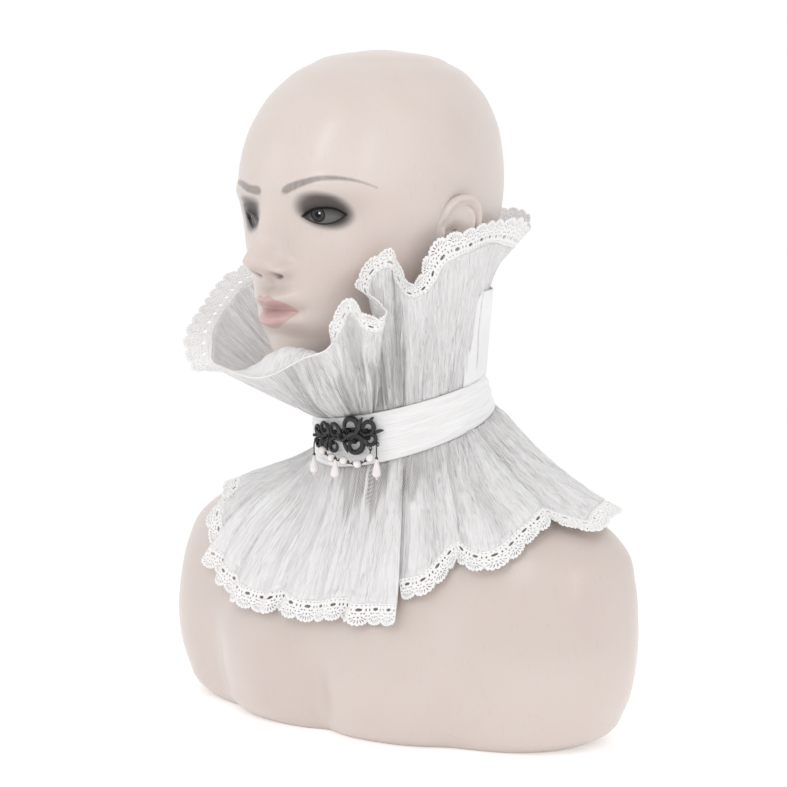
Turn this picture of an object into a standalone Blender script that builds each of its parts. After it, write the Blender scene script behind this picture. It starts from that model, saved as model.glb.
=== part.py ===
# Detachable ruffle collar with a brooch, shown on a plain display bust.
# Tables and sizes are in millimetres and degrees; angle 0 is the front, +90 the wearer's left.
import math

import bmesh
import bpy
import numpy as np

for old in list(bpy.data.objects):
    bpy.data.objects.remove(old, do_unlink=True)

MM = 0.001
AXIS_Y = -4.0            # the collar's upright axis stands at x = 0, y = AXIS_Y
CLOTH_WALL = 1.0
LACE_WALL = 1.0
SEAM_GAP = 0.3
LACE_REPEAT = 12.0
LACE_HOLE = (5.0, 4.2)   # eyelet length and height
BAND_WALL = 2.0
BAND_OPENING = 178.0     # the band and flounce end at this angle on each side
BUST_COLUMNS = 42
FACE_DENSITY = 0.42

# The band's two edge rings: centre y, centre height, radius, rise per mm of x, rise per mm of y
BAND_TOP = dict(y=-4.7, z=217.0, radius=57.3, rise_x=0.136, rise_y=0.205)
BAND_BOTTOM = dict(y=2.0, z=191.4, radius=60.3, rise_x=0.105, rise_y=0.310)

# Crinkles along the band: share of its height, push outwards
BAND_CRINKLES = (
    (0.00, 0.0),
    (0.13, 0.9),
    (0.27, 0.2),
    (0.40, 1.0),
    (0.48, -0.2),
    (0.64, 0.9),
    (0.80, 0.2),
    (0.91, 0.7),
    (1.00, 0.0),
)

# Bust sections: height, centre y, half width, front depth, back depth, squareness, turn of the head
BUST_SECTIONS = (
    (0, -4, 151, 76, 58, 2.25, 0),
    (6, -4, 163, 82, 66, 2.25, 0),
    (22, -4, 175, 86, 72, 2.25, 0),
    (50, -4, 183, 87, 74, 2.3, 0),
    (80, -3, 184, 82, 74, 2.3, 0),
    (105, -1, 181, 75, 69, 2.3, 0),
    (125, 2, 173, 68, 65, 2.25, 0),
    (142, 5, 148, 61, 60, 2.15, 0),
    (155, 7, 112, 57, 57, 2.0, 0),
    (167, 6, 75, 52.5, 53, 2.0, 0),
    (180, 2, 53.5, 49, 51, 2.0, 0),
    (200, -3, 49, 48, 50, 2.0, 1),
    (218, -8, 47, 50, 50, 2.0, 3),
    (229, -12, 46, 60, 51, 1.95, 4),
    (236, -16, 47, 70, 53, 1.9, 4),
    (246, -22, 49, 82, 58, 1.9, 4),
    (262, -30, 54, 87, 66, 1.95, 4),
    (285, -34, 61, 88, 80, 2.05, 4),
    (315, -36, 67, 86, 94, 2.15, 4),
    (345, -36, 73, 90, 102, 2.15, 4),
    (375, -34, 74, 90, 100, 2.1, 4),
    (400, -31, 69, 82, 92, 2.05, 4),
    (420, -28, 58, 68, 77, 2.0, 4),
    (434, -25, 42, 48, 54, 2.0, 4),
    (441, -24, 24, 27, 30, 2.0, 4),
    (443.5, -24, 6, 6, 6, 2.0, 4),
)

# Heights of the bust's rings
BUST_HEIGHTS = (
    0, 6, 22, 50, 78, 100, 118, 132, 144, 153, 161, 170, 182, 198, 216, 228, 236, 246, 256, 265,
    272, 279, 286, 293, 299, 303, 307, 313, 321, 332, 343, 355, 370, 386, 402, 418, 431, 440,
)

# Soft forms on the bust: angle, height, spread in degrees, spread in height, push outwards
BUST_FORMS = (
    (0, 306.5, 6.5, 7.0, 20.0),     # nose tip
    (0, 315, 5.0, 8.0, 7.0),        # nose ridge
    (0, 327, 4.5, 11.0, 9.5),       # nose bridge
    (11, 303, 4.5, 5.0, 6.0),       # nostril wings
    (-11, 303, 4.5, 5.0, 6.0),
    (24, 339, 11.0, 9.0, -9.0),     # eye sockets
    (-24, 339, 11.0, 9.0, -9.0),
    (23, 340, 8.5, 6.0, 4.5),       # eyelids
    (-23, 340, 8.5, 6.0, 4.5),
    (22, 356, 15.0, 6.0, 2.5),      # brows
    (-22, 356, 15.0, 6.0, 2.5),
    (0, 286, 17.0, 4.5, 6.5),       # upper lip
    (0, 279, 17.0, 2.5, -2.0),      # line of the mouth
    (0, 272, 15.0, 4.5, 6.5),       # lower lip
    (0, 262, 12.0, 4.0, -2.0),      # hollow over the chin
    (0, 248, 18.0, 8.0, 6.0),       # chin
    (44, 305, 15.0, 13.0, 3.5),     # cheekbones
    (-44, 305, 15.0, 13.0, 3.5),
    (91, 330, 7.5, 16.0, 8.0),      # ears
    (-91, 330, 7.5, 16.0, 8.0),
    (58, 30, 9.0, 60.0, -10.0),     # grooves between arm and chest
    (-58, 30, 9.0, 60.0, -10.0),
    (30, 34, 17.0, 34.0, 8.0),      # chest
    (-30, 34, 17.0, 34.0, 8.0),
    (0, 20, 9.0, 34.0, -7.0),
)

# The ruffle's folds: angle at the band, then the cloth edge (angle, radius, height), how late the
# cloth flares, how far it rolls over, and the lace tip (angle, radius, height)
RUFFLE_FOLDS = (
    (177, 177, 88, 326, 4.0, 0, 177, 98, 338),
    (165, 165, 88, 325, 4.0, 0, 165, 98, 338),
    (151, 151, 83, 320, 4.0, 0, 152, 95, 335),
    (138, 139, 78, 314, 4.0, 0, 140, 89, 326),
    (120, 115, 73, 316, 3.4, 0, 122, 82, 334),
    (105, 99, 73, 319, 2.2, 0, 100, 77, 334),
    (91, 83, 80, 319, 1.5, 0, 82, 83, 333),
    (79, 71, 86, 315, 1.2, 0, 69, 89, 329),
    (70, 61, 91, 311, 1.1, 0, 57, 95, 326),
    (63, 56, 94, 305, 1.05, 0, 50, 98, 316),
    (57, 53, 97, 297, 1.05, 0, 48, 100, 306),
    (52, 49, 99, 290, 1.05, 0, 46, 104, 299),
    (46, 43, 103, 288, 1.05, 0, 43, 111, 297),
    (42, 39, 107, 298, 1.05, 0, 40, 113, 309),
    (38, 37, 110, 307, 1.05, 0, 37, 113, 319),
    (35, 32, 112, 303, 1.05, 0, 30, 116, 311),
    (32, 30, 112, 293, 1.05, 0, 26, 116, 296),
    (29, 32, 112, 282, 1.05, 0, 31, 119, 290),
    (26.5, 35, 113, 273, 1.05, 0, 36, 121, 281),
    (24, 34, 121, 268, 1.05, 0, 34, 128, 277),
    (21.5, 30, 126, 270, 1.05, 0, 30, 132, 281),
    (18.5, 26, 126, 280, 1.05, 0, 26, 131, 290),
    (15, 23, 126, 268, 1.05, 0, 21, 133, 273),
    (11, 19, 127, 256, 1.0, 2, 18, 133, 247),
    (5, 14, 137, 251, 1.0, 13, 12, 130, 241),
    (-1, 11, 143, 246, 1.0, 19, 8, 132, 240),
    (-7, 7, 145, 241, 1.0, 23, 3, 135, 235),
    (-14, -2, 136, 237, 1.0, 20, -5, 128, 231),
    (-20, -21, 121, 236, 1.0, 6, -23, 123, 227),
    (-27, -34, 120, 237, 1.0, 0, -37, 129, 230),
    (-35, -44, 125, 239, 1.0, 0, -46, 138, 233),
    (-43, -53, 126, 248, 1.0, 0, -53, 145, 248),
    (-51, -60, 128, 257, 1.0, 0, -60, 145, 260),
    (-60, -70, 129, 267, 1.0, 0, -69, 143, 272),
    (-70, -79, 131, 276, 1.05, 0, -77, 146, 281),
    (-80, -87, 136, 283, 1.1, 0, -85, 149, 290),
    (-92, -94, 133, 289, 1.3, 0, -94, 145, 299),
    (-108, -109, 112, 303, 2.0, 0, -108, 122, 315),
    (-126, -127, 92, 314, 3.6, 0, -126, 102, 327),
    (-145, -146, 83, 321, 4.2, 0, -146, 93, 334),
    (-162, -162, 88, 325, 4.0, 0, -162, 98, 338),
    (-177, -177, 88, 326, 4.0, 0, -177, 98, 338),
)
RUFFLE_COLUMNS = 102
RUFFLE_ROWS = 6
RUFFLE_CRINKLE = 0.7     # height of each small pleat, to each side
RUFFLE_LIFT = 1.5        # the gathered edge stands this far over the band

# Back stays: name, first and last angle
STAYS = (
    ("back_stay_left", 112.0, 176.5),
    ("back_stay_right", -142.0, -176.5),
)
STAY = dict(foot=57.6, top=62.8, height=287.0, wall=1.2, lift=0.5)

# Hems of the three lower panels: cloth edge angle, radius, height
BIB_HEM = (
    (-62, 117, 109),
    (-54, 109, 101),
    (-44, 100, 92),
    (-29, 88, 87),
    (-21, 83, 91),
    (-4, 79, 87),
    (14, 80, 92),
    (23, 84, 90),
    (39, 94, 93),
)
LEFT_HEM = (
    (40.5, 90, 107),
    (47, 95, 111),
    (52, 97, 119),
    (58, 101, 130),
    (60, 105, 133),
    (62, 111, 130),
    (65, 118, 128),
    (71, 123, 134),
    (77, 128, 145),
    (83, 130, 153),
    (86, 142, 150),
    (90, 150, 146),
    (96, 150, 151),
    (104, 145, 153),
    (114, 134, 153),
    (128, 114, 153),
    (145, 104, 157),
    (162, 98, 158),
    (177, 96, 158),
)
RIGHT_HEM = (
    (-63.5, 108, 119),
    (-68, 112, 129),
    (-72, 113, 138),
    (-78, 115, 147),
    (-86, 125, 150),
    (-94, 143, 147),
    (-102, 144, 151),
    (-112, 136, 153),
    (-126, 117, 153),
    (-145, 104, 157),
    (-162, 98, 158),
    (-177, 96, 158),
)
# Lower panels: name, hem, columns, waves at the hem, wave height, lace length
PANELS = (
    ("front_bib", BIB_HEM, 36, 7.0, 3.2, 14.0),
    ("side_flounce_left", LEFT_HEM, 44, 8.0, 2.4, 14.0),
    ("side_flounce_right", RIGHT_HEM, 34, 5.0, 1.2, 14.0),
)
PANEL_ROWS = 6
PANEL_DROP = 1.3         # the gathered edge lies this far under the band
PANEL_SAG = 0.3          # how much sooner a side panel drops than a straight line
PANEL_CLEAR = 2.9        # least distance between the bust and a lower panel's middle
PANEL_CRINKLE = 0.6
LACE_CLEAR = 1.4         # least distance between the bust and a lace's middle

# Brooch on the band: centre angle, centre height share, length along the band, height
BROOCH = dict(angle=1.0, share=0.37, length=60.0, height=27.0, lift=1.5)
# Scrolls on the brooch: centre along, centre up, outer radius, turns, start angle, hand, wire radius
SCROLLS = (
    (6.5, 5.5, 7.0, 1.35, 200, 1, 1.25),
    (7.5, -6.5, 6.6, 1.35, 150, -1, 1.25),
    (-9.0, 5.0, 6.4, 1.25, -20, -1, 1.15),
    (-9.5, -5.5, 6.2, 1.25, 30, 1, 1.15),
    (20.5, 3.6, 5.6, 1.3, 190, 1, 1.05),
    (21.0, -4.4, 5.0, 1.2, 160, -1, 1.0),
    (-21.5, 3.6, 5.8, 1.3, -10, -1, 1.05),
    (-22.0, -4.2, 5.0, 1.2, 20, 1, 1.0),
)
# Round pearls under the brooch: angle, height over the floor
SWAG_PEARLS = (
    (-14.0, 182.5),
    (-6.0, 178.5),
    (3.0, 177.5),
    (12.0, 176.0),
    (20.2, 180.5),
)
PEARL_RADIUS = 2.9
PEARL_OUT = 6.0          # how far in front of the band the pearls hang
# Drop pearls: name, angle, height of the hanging point, length of the wire, distance off the band
DROPS = (
    ("drop_right", -23.0, 189.5, 10.5, 4.5),
    ("drop_middle", -1.5, 180.2, 1.6, 7.9),
    ("drop_left", 25.0, 190.5, 10.0, 4.0),
)
# A drop pearl over the small bead that ends it: radius, height
DROP_PROFILE = (
    (0.5, -1.7),
    (0.9, -1.2),
    (0.6, -0.3),
    (2.4, 0.7),
    (3.0, 2.6),
    (2.8, 4.6),
    (2.0, 7.6),
    (1.2, 10.2),
    (0.7, 12.5),
)
# Wires that hang the swag from the brooch: name, swag pearl, angle and height of the upper end
SWAG_ENDS = (
    ("swag_hook_right", 0, -14.0, 188.0),
    ("swag_hook_left", 4, 20.6, 186.5),
)

collection = bpy.data.collections.new("detachable_collar")
bpy.context.scene.collection.children.link(collection)


def make_material(name, colour, roughness, metallic=0.0):
    """One plain Principled material."""
    material = bpy.data.materials.new(name)
    material.use_nodes = True
    shader = material.node_tree.nodes["Principled BSDF"]
    shader.inputs["Base Color"].default_value = (*colour, 1.0)
    shader.inputs["Roughness"].default_value = roughness
    shader.inputs["Metallic"].default_value = metallic
    return material


CREPE = make_material("white_crinkle_cloth", (0.86, 0.86, 0.85), 0.75)
LACE = make_material("white_lace", (0.88, 0.88, 0.87), 0.85)
TAPE = make_material("white_stay_tape", (0.82, 0.82, 0.82), 0.8)
METAL = make_material("dark_antique_metal", (0.05, 0.05, 0.05), 0.35, 0.9)
PEARL = make_material("white_pearl", (0.87, 0.85, 0.82), 0.2)
SKIN = make_material("bust_satin_skin", (0.72, 0.60, 0.55), 0.35)


def add_body(name, points, faces, material, smooth=True):
    """Object from points in millimetres; its faces are turned outwards."""
    mesh = bpy.data.meshes.new(name)
    mesh.from_pydata([tuple(float(c) * MM for c in p) for p in points], [], faces)
    mesh.materials.append(material)
    work = bmesh.new()
    work.from_mesh(mesh)
    bmesh.ops.recalc_face_normals(work, faces=work.faces)
    if work.calc_volume(signed=True) < 0:
        bmesh.ops.reverse_faces(work, faces=work.faces)
    work.to_mesh(mesh)
    work.free()
    for face in mesh.polygons:
        face.use_smooth = smooth
    body = bpy.data.objects.new(name, mesh)
    collection.objects.link(body)
    return body


def column_values(table, column):
    """One column of a table."""
    return np.array([row[column] for row in table], float)


def curve_through(stations, values, where):
    """Smooth cubic through values given at rising stations."""
    where = np.clip(np.asarray(where, float), stations[0], stations[-1])
    slope = np.gradient(values, stations)
    left = np.clip(np.searchsorted(stations, where) - 1, 0, len(stations) - 2)
    width = stations[left + 1] - stations[left]
    t = (where - stations[left]) / width
    start = (2 * t**3 - 3 * t**2 + 1) * values[left]
    end = (3 * t**2 - 2 * t**3) * values[left + 1]
    leave = (t**3 - 2 * t**2 + t) * width * slope[left]
    arrive = (t**3 - t**2) * width * slope[left + 1]
    return start + end + leave + arrive


def polar_point(angle, radius, height):
    """Point round the collar's upright axis."""
    turn = math.radians(angle)
    return np.array((radius * math.sin(turn), AXIS_Y - radius * math.cos(turn), height))


BUST_TABLE = np.array(BUST_SECTIONS, float)


def bust_section(height):
    """Centre, half width, depths, squareness and turn at one height."""
    stations = BUST_TABLE[:, 0]
    return [float(curve_through(stations, BUST_TABLE[:, c], height)) for c in range(1, 7)]


def bust_point(turn, height):
    """Point on the bust's skin."""
    centre, half, front, back, square, yaw = bust_section(height)
    power = 2.0 / square
    side = math.copysign(abs(math.sin(turn)) ** power, math.sin(turn))
    ahead = math.copysign(abs(math.cos(turn)) ** power, math.cos(turn))
    x = half * side
    y = -(front if ahead > 0 else back) * ahead
    angle = math.degrees(math.atan2(x, -y))
    push = 0.0
    for at, level, spread, tall, amount in BUST_FORMS:
        away = (angle - at + 180) % 360 - 180
        push += amount * math.exp(-((away / spread) ** 2) - ((height - level) / tall) ** 2)
    scale = 1.0 + push / math.hypot(x, y)
    x *= scale
    y *= scale
    yaw = -math.radians(yaw)
    return np.array((
        x * math.cos(yaw) - y * math.sin(yaw),
        centre + x * math.sin(yaw) + y * math.cos(yaw),
        height,
    ))


def bust_reach_row(height):
    """Distance from the collar's axis to the bust's skin in every whole direction."""
    ring = np.array([bust_point(t, height) for t in np.linspace(-math.pi, math.pi, 73)[:-1]])
    across = np.degrees(np.arctan2(ring[:, 0], -(ring[:, 1] - AXIS_Y)))
    reach = np.hypot(ring[:, 0], ring[:, 1] - AXIS_Y)
    order = np.argsort(across)
    return np.interp(np.arange(-180, 181), across[order], reach[order], period=360)


REACH_STEP = 3.0
REACH = np.array([bust_reach_row(REACH_STEP * k) for k in range(82)])


def bust_radius(angle, height):
    """Distance from the collar's axis to the bust's skin below the chin."""
    level = min(max(height / REACH_STEP, 0.0), len(REACH) - 1.001)
    row = int(level)
    share = level - row
    across = (angle + 180) % 360
    column = min(int(across), 359)
    turn = across - column
    low = REACH[row, column] * (1 - turn) + REACH[row, column + 1] * turn
    high = REACH[row + 1, column] * (1 - turn) + REACH[row + 1, column + 1] * turn
    return low * (1 - share) + high * share


def make_bust():
    """Head, neck and shoulders as one smooth body on a flat base."""
    turns = []
    for i in range(BUST_COLUMNS):
        even = 2 * math.pi * i / BUST_COLUMNS
        turns.append(even - FACE_DENSITY * math.sin(even))
    points = [bust_point(t, h) for h in BUST_HEIGHTS for t in turns]
    faces = []
    count = BUST_COLUMNS
    for row in range(len(BUST_HEIGHTS) - 1):
        for i in range(count):
            j = (i + 1) % count
            faces.append((row * count + i, row * count + j, (row + 1) * count + j, (row + 1) * count + i))
    faces.append(tuple(range(count)))
    top = (len(BUST_HEIGHTS) - 1) * count
    centre = bust_section(443.5)[0]
    points.append((0.0, centre, 443.5))
    for i in range(count):
        faces.append((top + i, top + (i + 1) % count, len(points) - 1))
    return add_body("display_bust", points, faces, SKIN)


def ring_height(ring, x, y):
    """Height of a band edge over one place."""
    return ring["z"] + ring["rise_x"] * x + ring["rise_y"] * (y - ring["y"])


def band_point(angle, share, push=0.0):
    """Point on the band's outer face: share 0 is its top edge, 1 its bottom edge."""
    turn = math.radians(angle)
    ends = []
    for ring in (BAND_TOP, BAND_BOTTOM):
        x = ring["radius"] * math.sin(turn)
        y = ring["y"] - ring["radius"] * math.cos(turn)
        ends.append(np.array((x, y, ring_height(ring, x, y))))
    point = ends[0] * (1 - share) + ends[1] * share
    down = ends[1] - ends[0]
    along = np.array((math.cos(turn), math.sin(turn), 0.0))
    normal = np.cross(down, along)
    normal /= np.linalg.norm(normal)
    if normal @ np.array((math.sin(turn), -math.cos(turn), 0.0)) < 0:
        normal = -normal
    return point + normal * push


def make_band():
    """Crinkled strip round the neck, open at the back."""
    angles = np.linspace(-BAND_OPENING, BAND_OPENING, 41)
    section = [(share, push) for share, push in BAND_CRINKLES]
    section += [(1.0, -BAND_WALL), (0.5, -BAND_WALL), (0.0, -BAND_WALL)]
    points = [band_point(a, share, push) for a in angles for share, push in section]
    count = len(section)
    faces = []
    for row in range(len(angles) - 1):
        for i in range(count):
            j = (i + 1) % count
            faces.append((row * count + i, row * count + j, (row + 1) * count + j, (row + 1) * count + i))
    faces.append(tuple(range(count)))
    faces.append(tuple(range(len(points) - count, len(points))))
    return add_body("neck_band", points, faces, CREPE)


def grid_normals(grid):
    """Unit normals of a grid of points."""
    along = np.gradient(grid, axis=0)
    up = np.gradient(grid, axis=1)
    normal = np.cross(along, up)
    return normal / np.linalg.norm(normal, axis=2, keepdims=True)


def crinkle_grid(grid, amount):
    """Small pleats: every second column moves out, the others in."""
    sign = np.where(np.arange(grid.shape[0]) % 2 == 0, 1.0, -1.0)
    sign[0] = 0.0
    sign[-1] = 0.0
    rows = np.linspace(1.0, 0.75, grid.shape[1])
    return grid + grid_normals(grid) * (sign[:, None] * rows[None, :] * amount)[:, :, None]


def cloth_body(name, grid, wall, material):
    """Closed wall of even thickness round a grid of middle points."""
    normal = grid_normals(grid)
    outer = grid + normal * wall / 2
    inner = grid - normal * wall / 2
    columns, rows = grid.shape[:2]
    points = list(outer.reshape(-1, 3)) + list(inner.reshape(-1, 3))
    half = columns * rows
    faces = []
    for i in range(columns - 1):
        for j in range(rows - 1):
            a = i * rows + j
            b = (i + 1) * rows + j
            faces.append((a, b, b + 1, a + 1))
            faces.append((half + a, half + a + 1, half + b + 1, half + b))
    for i in range(columns - 1):
        for j, flip in ((0, False), (rows - 1, True)):
            a = i * rows + j
            b = (i + 1) * rows + j
            side = (a, half + a, half + b, b)
            faces.append(tuple(reversed(side)) if flip else side)
    for j in range(rows - 1):
        for i, flip in ((0, True), (columns - 1, False)):
            a = i * rows + j
            side = (a, half + a, half + a + 1, a + 1)
            faces.append(tuple(reversed(side)) if flip else side)
    return add_body(name, points, faces, material)


def even_stations(edge, stations, count):
    """Stations that share an edge line out evenly by its length."""
    fine = np.linspace(stations[0], stations[-1], 1200)
    line = np.stack([curve_through(stations, edge[:, c], fine) for c in range(3)], axis=1)
    length = np.concatenate([[0], np.cumsum(np.linalg.norm(np.diff(line, axis=0), axis=1))])
    return np.interp(np.linspace(0, length[-1], count), length, fine), float(length[-1])


RUFFLE_TABLE = np.array(RUFFLE_FOLDS, float)
RUFFLE_STATIONS = np.arange(len(RUFFLE_FOLDS), dtype=float)
RUFFLE_EDGE = np.array([polar_point(*row[1:4]) for row in RUFFLE_TABLE])
RUFFLE_TIP = np.array([polar_point(*row[6:9]) for row in RUFFLE_TABLE])


def ruffle_value(column, station):
    """One column of the fold table between its rows."""
    return float(curve_through(RUFFLE_STATIONS, RUFFLE_TABLE[:, column], station))


def ruffle_profile(station, shares):
    """Points from the band to the cloth edge at one station of the fold table."""
    angle = ruffle_value(0, station)
    edge = [float(curve_through(RUFFLE_STATIONS, RUFFLE_EDGE[:, c], station)) for c in range(3)]
    edge = np.array(edge)
    flare = ruffle_value(4, station)
    roll = max(ruffle_value(5, station), 0.0)
    inset = 1.0 + 1.4 * min(max((flare - 2.0) / 2.0, 0.0), 1.0)
    turn = math.radians(angle)
    radius = BAND_TOP["radius"] - inset
    foot = np.array((radius * math.sin(turn), BAND_TOP["y"] - radius * math.cos(turn), 0.0))
    foot[2] = ring_height(BAND_TOP, foot[0], foot[1]) + RUFFLE_LIFT
    line = []
    for share in shares:
        spread = share ** flare
        point = foot + (edge - foot) * np.array((spread, spread, share))
        point[2] += roll * 9.5 * share**3 * (1.0 - share)
        line.append(point)
    return line


def make_ruffle():
    """Gathered strip standing from the band, with its large folds and small pleats."""
    stations, _ = even_stations(RUFFLE_EDGE, RUFFLE_STATIONS, RUFFLE_COLUMNS)
    shares = np.linspace(0, 1, RUFFLE_ROWS)
    grid = np.array([ruffle_profile(s, shares) for s in stations])
    return cloth_body("ruffle_collar", crinkle_grid(grid, RUFFLE_CRINKLE), CLOTH_WALL, CREPE)


def make_stay(name, first, last):
    """Plain strip standing on the band beside the back opening."""
    columns = []
    for angle in np.linspace(first, last, 12):
        line = []
        for share in np.linspace(0, 1, 4):
            radius = STAY["foot"] + (STAY["top"] - STAY["foot"]) * share
            point = polar_point(angle, radius, 0.0)
            low = ring_height(BAND_TOP, point[0], point[1]) + STAY["lift"]
            point[2] = low + (STAY["height"] - low) * share
            line.append(point)
        columns.append(line)
    return cloth_body(name, np.array(columns), STAY["wall"], TAPE)


def panel_edge(hem, station):
    """Cloth edge of a lower panel between the rows of its table."""
    stations = np.arange(len(hem), dtype=float)
    edge = np.array([polar_point(*row) for row in hem])
    return np.array([float(curve_through(stations, edge[:, c], station)) for c in range(3)])


def panel_profile(hem, station, ends, shares, waves, swell, extra=0.0):
    """Points from the band down to the hem, kept clear of the bust."""
    edge = panel_edge(hem, station)
    last = len(hem) - 1.0
    angle = ends[0] + (ends[1] - ends[0]) * station / last
    hem_angle = math.degrees(math.atan2(edge[0], -(edge[1] - AXIS_Y)))
    angle = 0.25 * angle + 0.75 * hem_angle
    angle = min(max(angle, min(ends)), max(ends))
    turn = math.radians(angle)
    radius = BAND_BOTTOM["radius"] - 1.0
    foot = np.array((radius * math.sin(turn), BAND_BOTTOM["y"] - radius * math.cos(turn), 0.0))
    foot[2] = ring_height(BAND_BOTTOM, foot[0], foot[1]) - PANEL_DROP
    wave = 0.5 + 0.5 * math.cos(2 * math.pi * waves * station / last)
    line = []
    for share in shares:
        point = foot + (edge - foot) * share
        point[2] += (edge[2] - foot[2]) * PANEL_SAG * share * (1.0 - share)
        across = math.atan2(point[0], -(point[1] - AXIS_Y))
        reach = math.hypot(point[0], point[1] - AXIS_Y)
        clear = PANEL_CLEAR * min(1.0, 0.2 + 2.0 * share) + swell * wave * share
        least = bust_radius(math.degrees(across), point[2] - clear) + clear * 0.5
        if share > 0.0:
            soft = 3.0
            reach = least + soft * math.log1p(math.exp((reach - least) / soft))
            reach += swell * wave * share * 0.7
        point[0] = reach * math.sin(across)
        point[1] = AXIS_Y - reach * math.cos(across)
        line.append(point)
    return line


def lace_strip(name, edge, tip, side_normal):
    """Scalloped lace with an eyelet in each repeat, between an edge line and a tip line."""
    length = np.concatenate([[0], np.cumsum(np.linalg.norm(np.diff(edge, axis=0), axis=1))])
    repeats = max(2, int(round(length[-1] / LACE_REPEAT)))
    step = length[-1] / repeats

    def at(along, share):
        low = np.array([np.interp(along, length, edge[:, c]) for c in range(3)])
        high = np.array([np.interp(along, length, tip[:, c]) for c in range(3)])
        normal = np.array([np.interp(along, length, side_normal[:, c]) for c in range(3)])
        out = high - low
        gap = SEAM_GAP / np.linalg.norm(out)
        return low + out * (gap + (1 - gap) * share), normal / np.linalg.norm(normal)

    points = []
    faces = []

    def corner(along, share):
        middle, normal = at(along, share)
        points.append(middle + normal * LACE_WALL / 2)
        points.append(middle - normal * LACE_WALL / 2)
        return len(points) - 2

    half_hole = LACE_HOLE[0] / 2 / LACE_REPEAT
    joints = [(corner(k * step, 0.0), corner(k * step, 0.74)) for k in range(repeats + 1)]
    for k in range(repeats):
        start = k * step
        near, far = joints[k], joints[k + 1]
        scallop = [corner(start + step * a, s) for a, s in ((0.25, 0.96), (0.75, 0.96))]
        hole = []
        for across, share in ((0.5 - half_hole, 0.36), (0.5, 0.18), (0.5 + half_hole, 0.36), (0.5, 0.54)):
            hole.append(corner(start + step * across, share))
        left, low, right, high = hole
        seam = corner(start + step * 0.5, 0.0)
        front = [
            (near[0], low, left),
            (near[0], seam, low),
            (seam, far[0], low),
            (far[0], right, low),
            (far[0], far[1], right),
            (far[1], high, right),
            (far[1], scallop[1], high),
            (scallop[1], scallop[0], high),
            (scallop[0], near[1], high),
            (near[1], left, high),
            (near[1], near[0], left),
        ]
        for face in front:
            faces.append(face)
            faces.append(tuple(c + 1 for c in reversed(face)))
        loop = [left, low, right, high]
        for a, b in zip(loop, loop[1:] + loop[:1]):
            faces.append((a, b, b + 1, a + 1))
        rim = [near[1], scallop[0], scallop[1], far[1]]
        for a, b in zip(rim, rim[1:]):
            faces.append((a, b, b + 1, a + 1))
        faces.append((far[0], seam, seam + 1, far[0] + 1))
        faces.append((seam, near[0], near[0] + 1, seam + 1))
    for low, high in (joints[0], joints[-1]):
        faces.append((low, high, high + 1, low + 1))
    return add_body(name, points, faces, LACE, smooth=False)


def lace_start(edge, inside, tip):
    """Where the lace begins: just past the cloth's end, whichever way the lace turns."""
    cloth = edge - inside
    cloth /= np.linalg.norm(cloth, axis=1, keepdims=True)
    out = tip - edge
    out /= np.linalg.norm(out, axis=1, keepdims=True)
    turn = (cloth * out).sum(axis=1, keepdims=True)
    straight = np.clip(turn, 0.0, 1.0)
    folded = np.clip(-turn, 0.0, 1.0)
    return edge + out * 0.4 * straight + cloth * (1.7 - 1.3 * straight + 1.5 * folded)


def line_normals(edge, tip):
    """Normals of the strip between two lines."""
    normal = np.cross(np.gradient(edge, axis=0), tip - edge)
    normal /= np.linalg.norm(normal, axis=1, keepdims=True)
    for _ in range(6):
        normal[1:-1] = (normal[:-2] + normal[1:-1] * 2 + normal[2:]) / 4
        normal /= np.linalg.norm(normal, axis=1, keepdims=True)
    return normal


def make_ruffle_lace():
    """Lace on the ruffle's free edge."""
    fine = np.linspace(0.0, RUFFLE_STATIONS[-1], 480)
    edge = np.stack([curve_through(RUFFLE_STATIONS, RUFFLE_EDGE[:, c], fine) for c in range(3)], axis=1)
    tip = np.stack([curve_through(RUFFLE_STATIONS, RUFFLE_TIP[:, c], fine) for c in range(3)], axis=1)
    inside = np.array([ruffle_profile(s, (0.9,))[0] for s in fine])
    edge = lace_start(edge, inside, tip)
    lace_strip("ruffle_lace", edge, tip, line_normals(edge, tip))


def make_panel(name, hem, columns, waves, swell, lace):
    """One gathered lower panel and its hem lace."""
    ends = (hem[0][0], hem[-1][0])
    edge = np.array([polar_point(*row) for row in hem])
    stations, _ = even_stations(edge, np.arange(len(hem), dtype=float), columns)
    shares = np.linspace(0, 1, PANEL_ROWS)
    grid = np.array([panel_profile(hem, s, ends, shares, waves, swell) for s in stations])
    cloth_body(name, crinkle_grid(grid, PANEL_CRINKLE), CLOTH_WALL, CREPE)
    fine, _ = even_stations(edge, np.arange(len(hem), dtype=float), 160)
    rim = np.array([panel_profile(hem, s, ends, (0.86, 1.0), waves, swell) for s in fine])
    out = rim[:, 1] - rim[:, 0]
    out /= np.linalg.norm(out, axis=1, keepdims=True)
    along = np.gradient(rim[:, 1], axis=0)
    along /= np.linalg.norm(along, axis=1, keepdims=True)
    out -= along * (out * along).sum(axis=1, keepdims=True) * 0.7
    for _ in range(12):
        out[1:-1] = (out[:-2] + out[1:-1] * 2 + out[2:]) / 4
    out /= np.linalg.norm(out, axis=1, keepdims=True)
    tip = rim[:, 1] + out * lace
    for k in range(len(tip)):
        across = math.degrees(math.atan2(tip[k, 0], -(tip[k, 1] - AXIS_Y)))
        reach = math.hypot(tip[k, 0], tip[k, 1] - AXIS_Y)
        least = bust_radius(across, tip[k, 2]) + LACE_CLEAR
        if reach < least:
            tip[k, 0] *= least / reach
            tip[k, 1] = AXIS_Y + (tip[k, 1] - AXIS_Y) * least / reach
    low = lace_start(rim[:, 1], rim[:, 0], tip)
    lace_strip(name + "_lace", low, tip, line_normals(low, tip))


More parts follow.
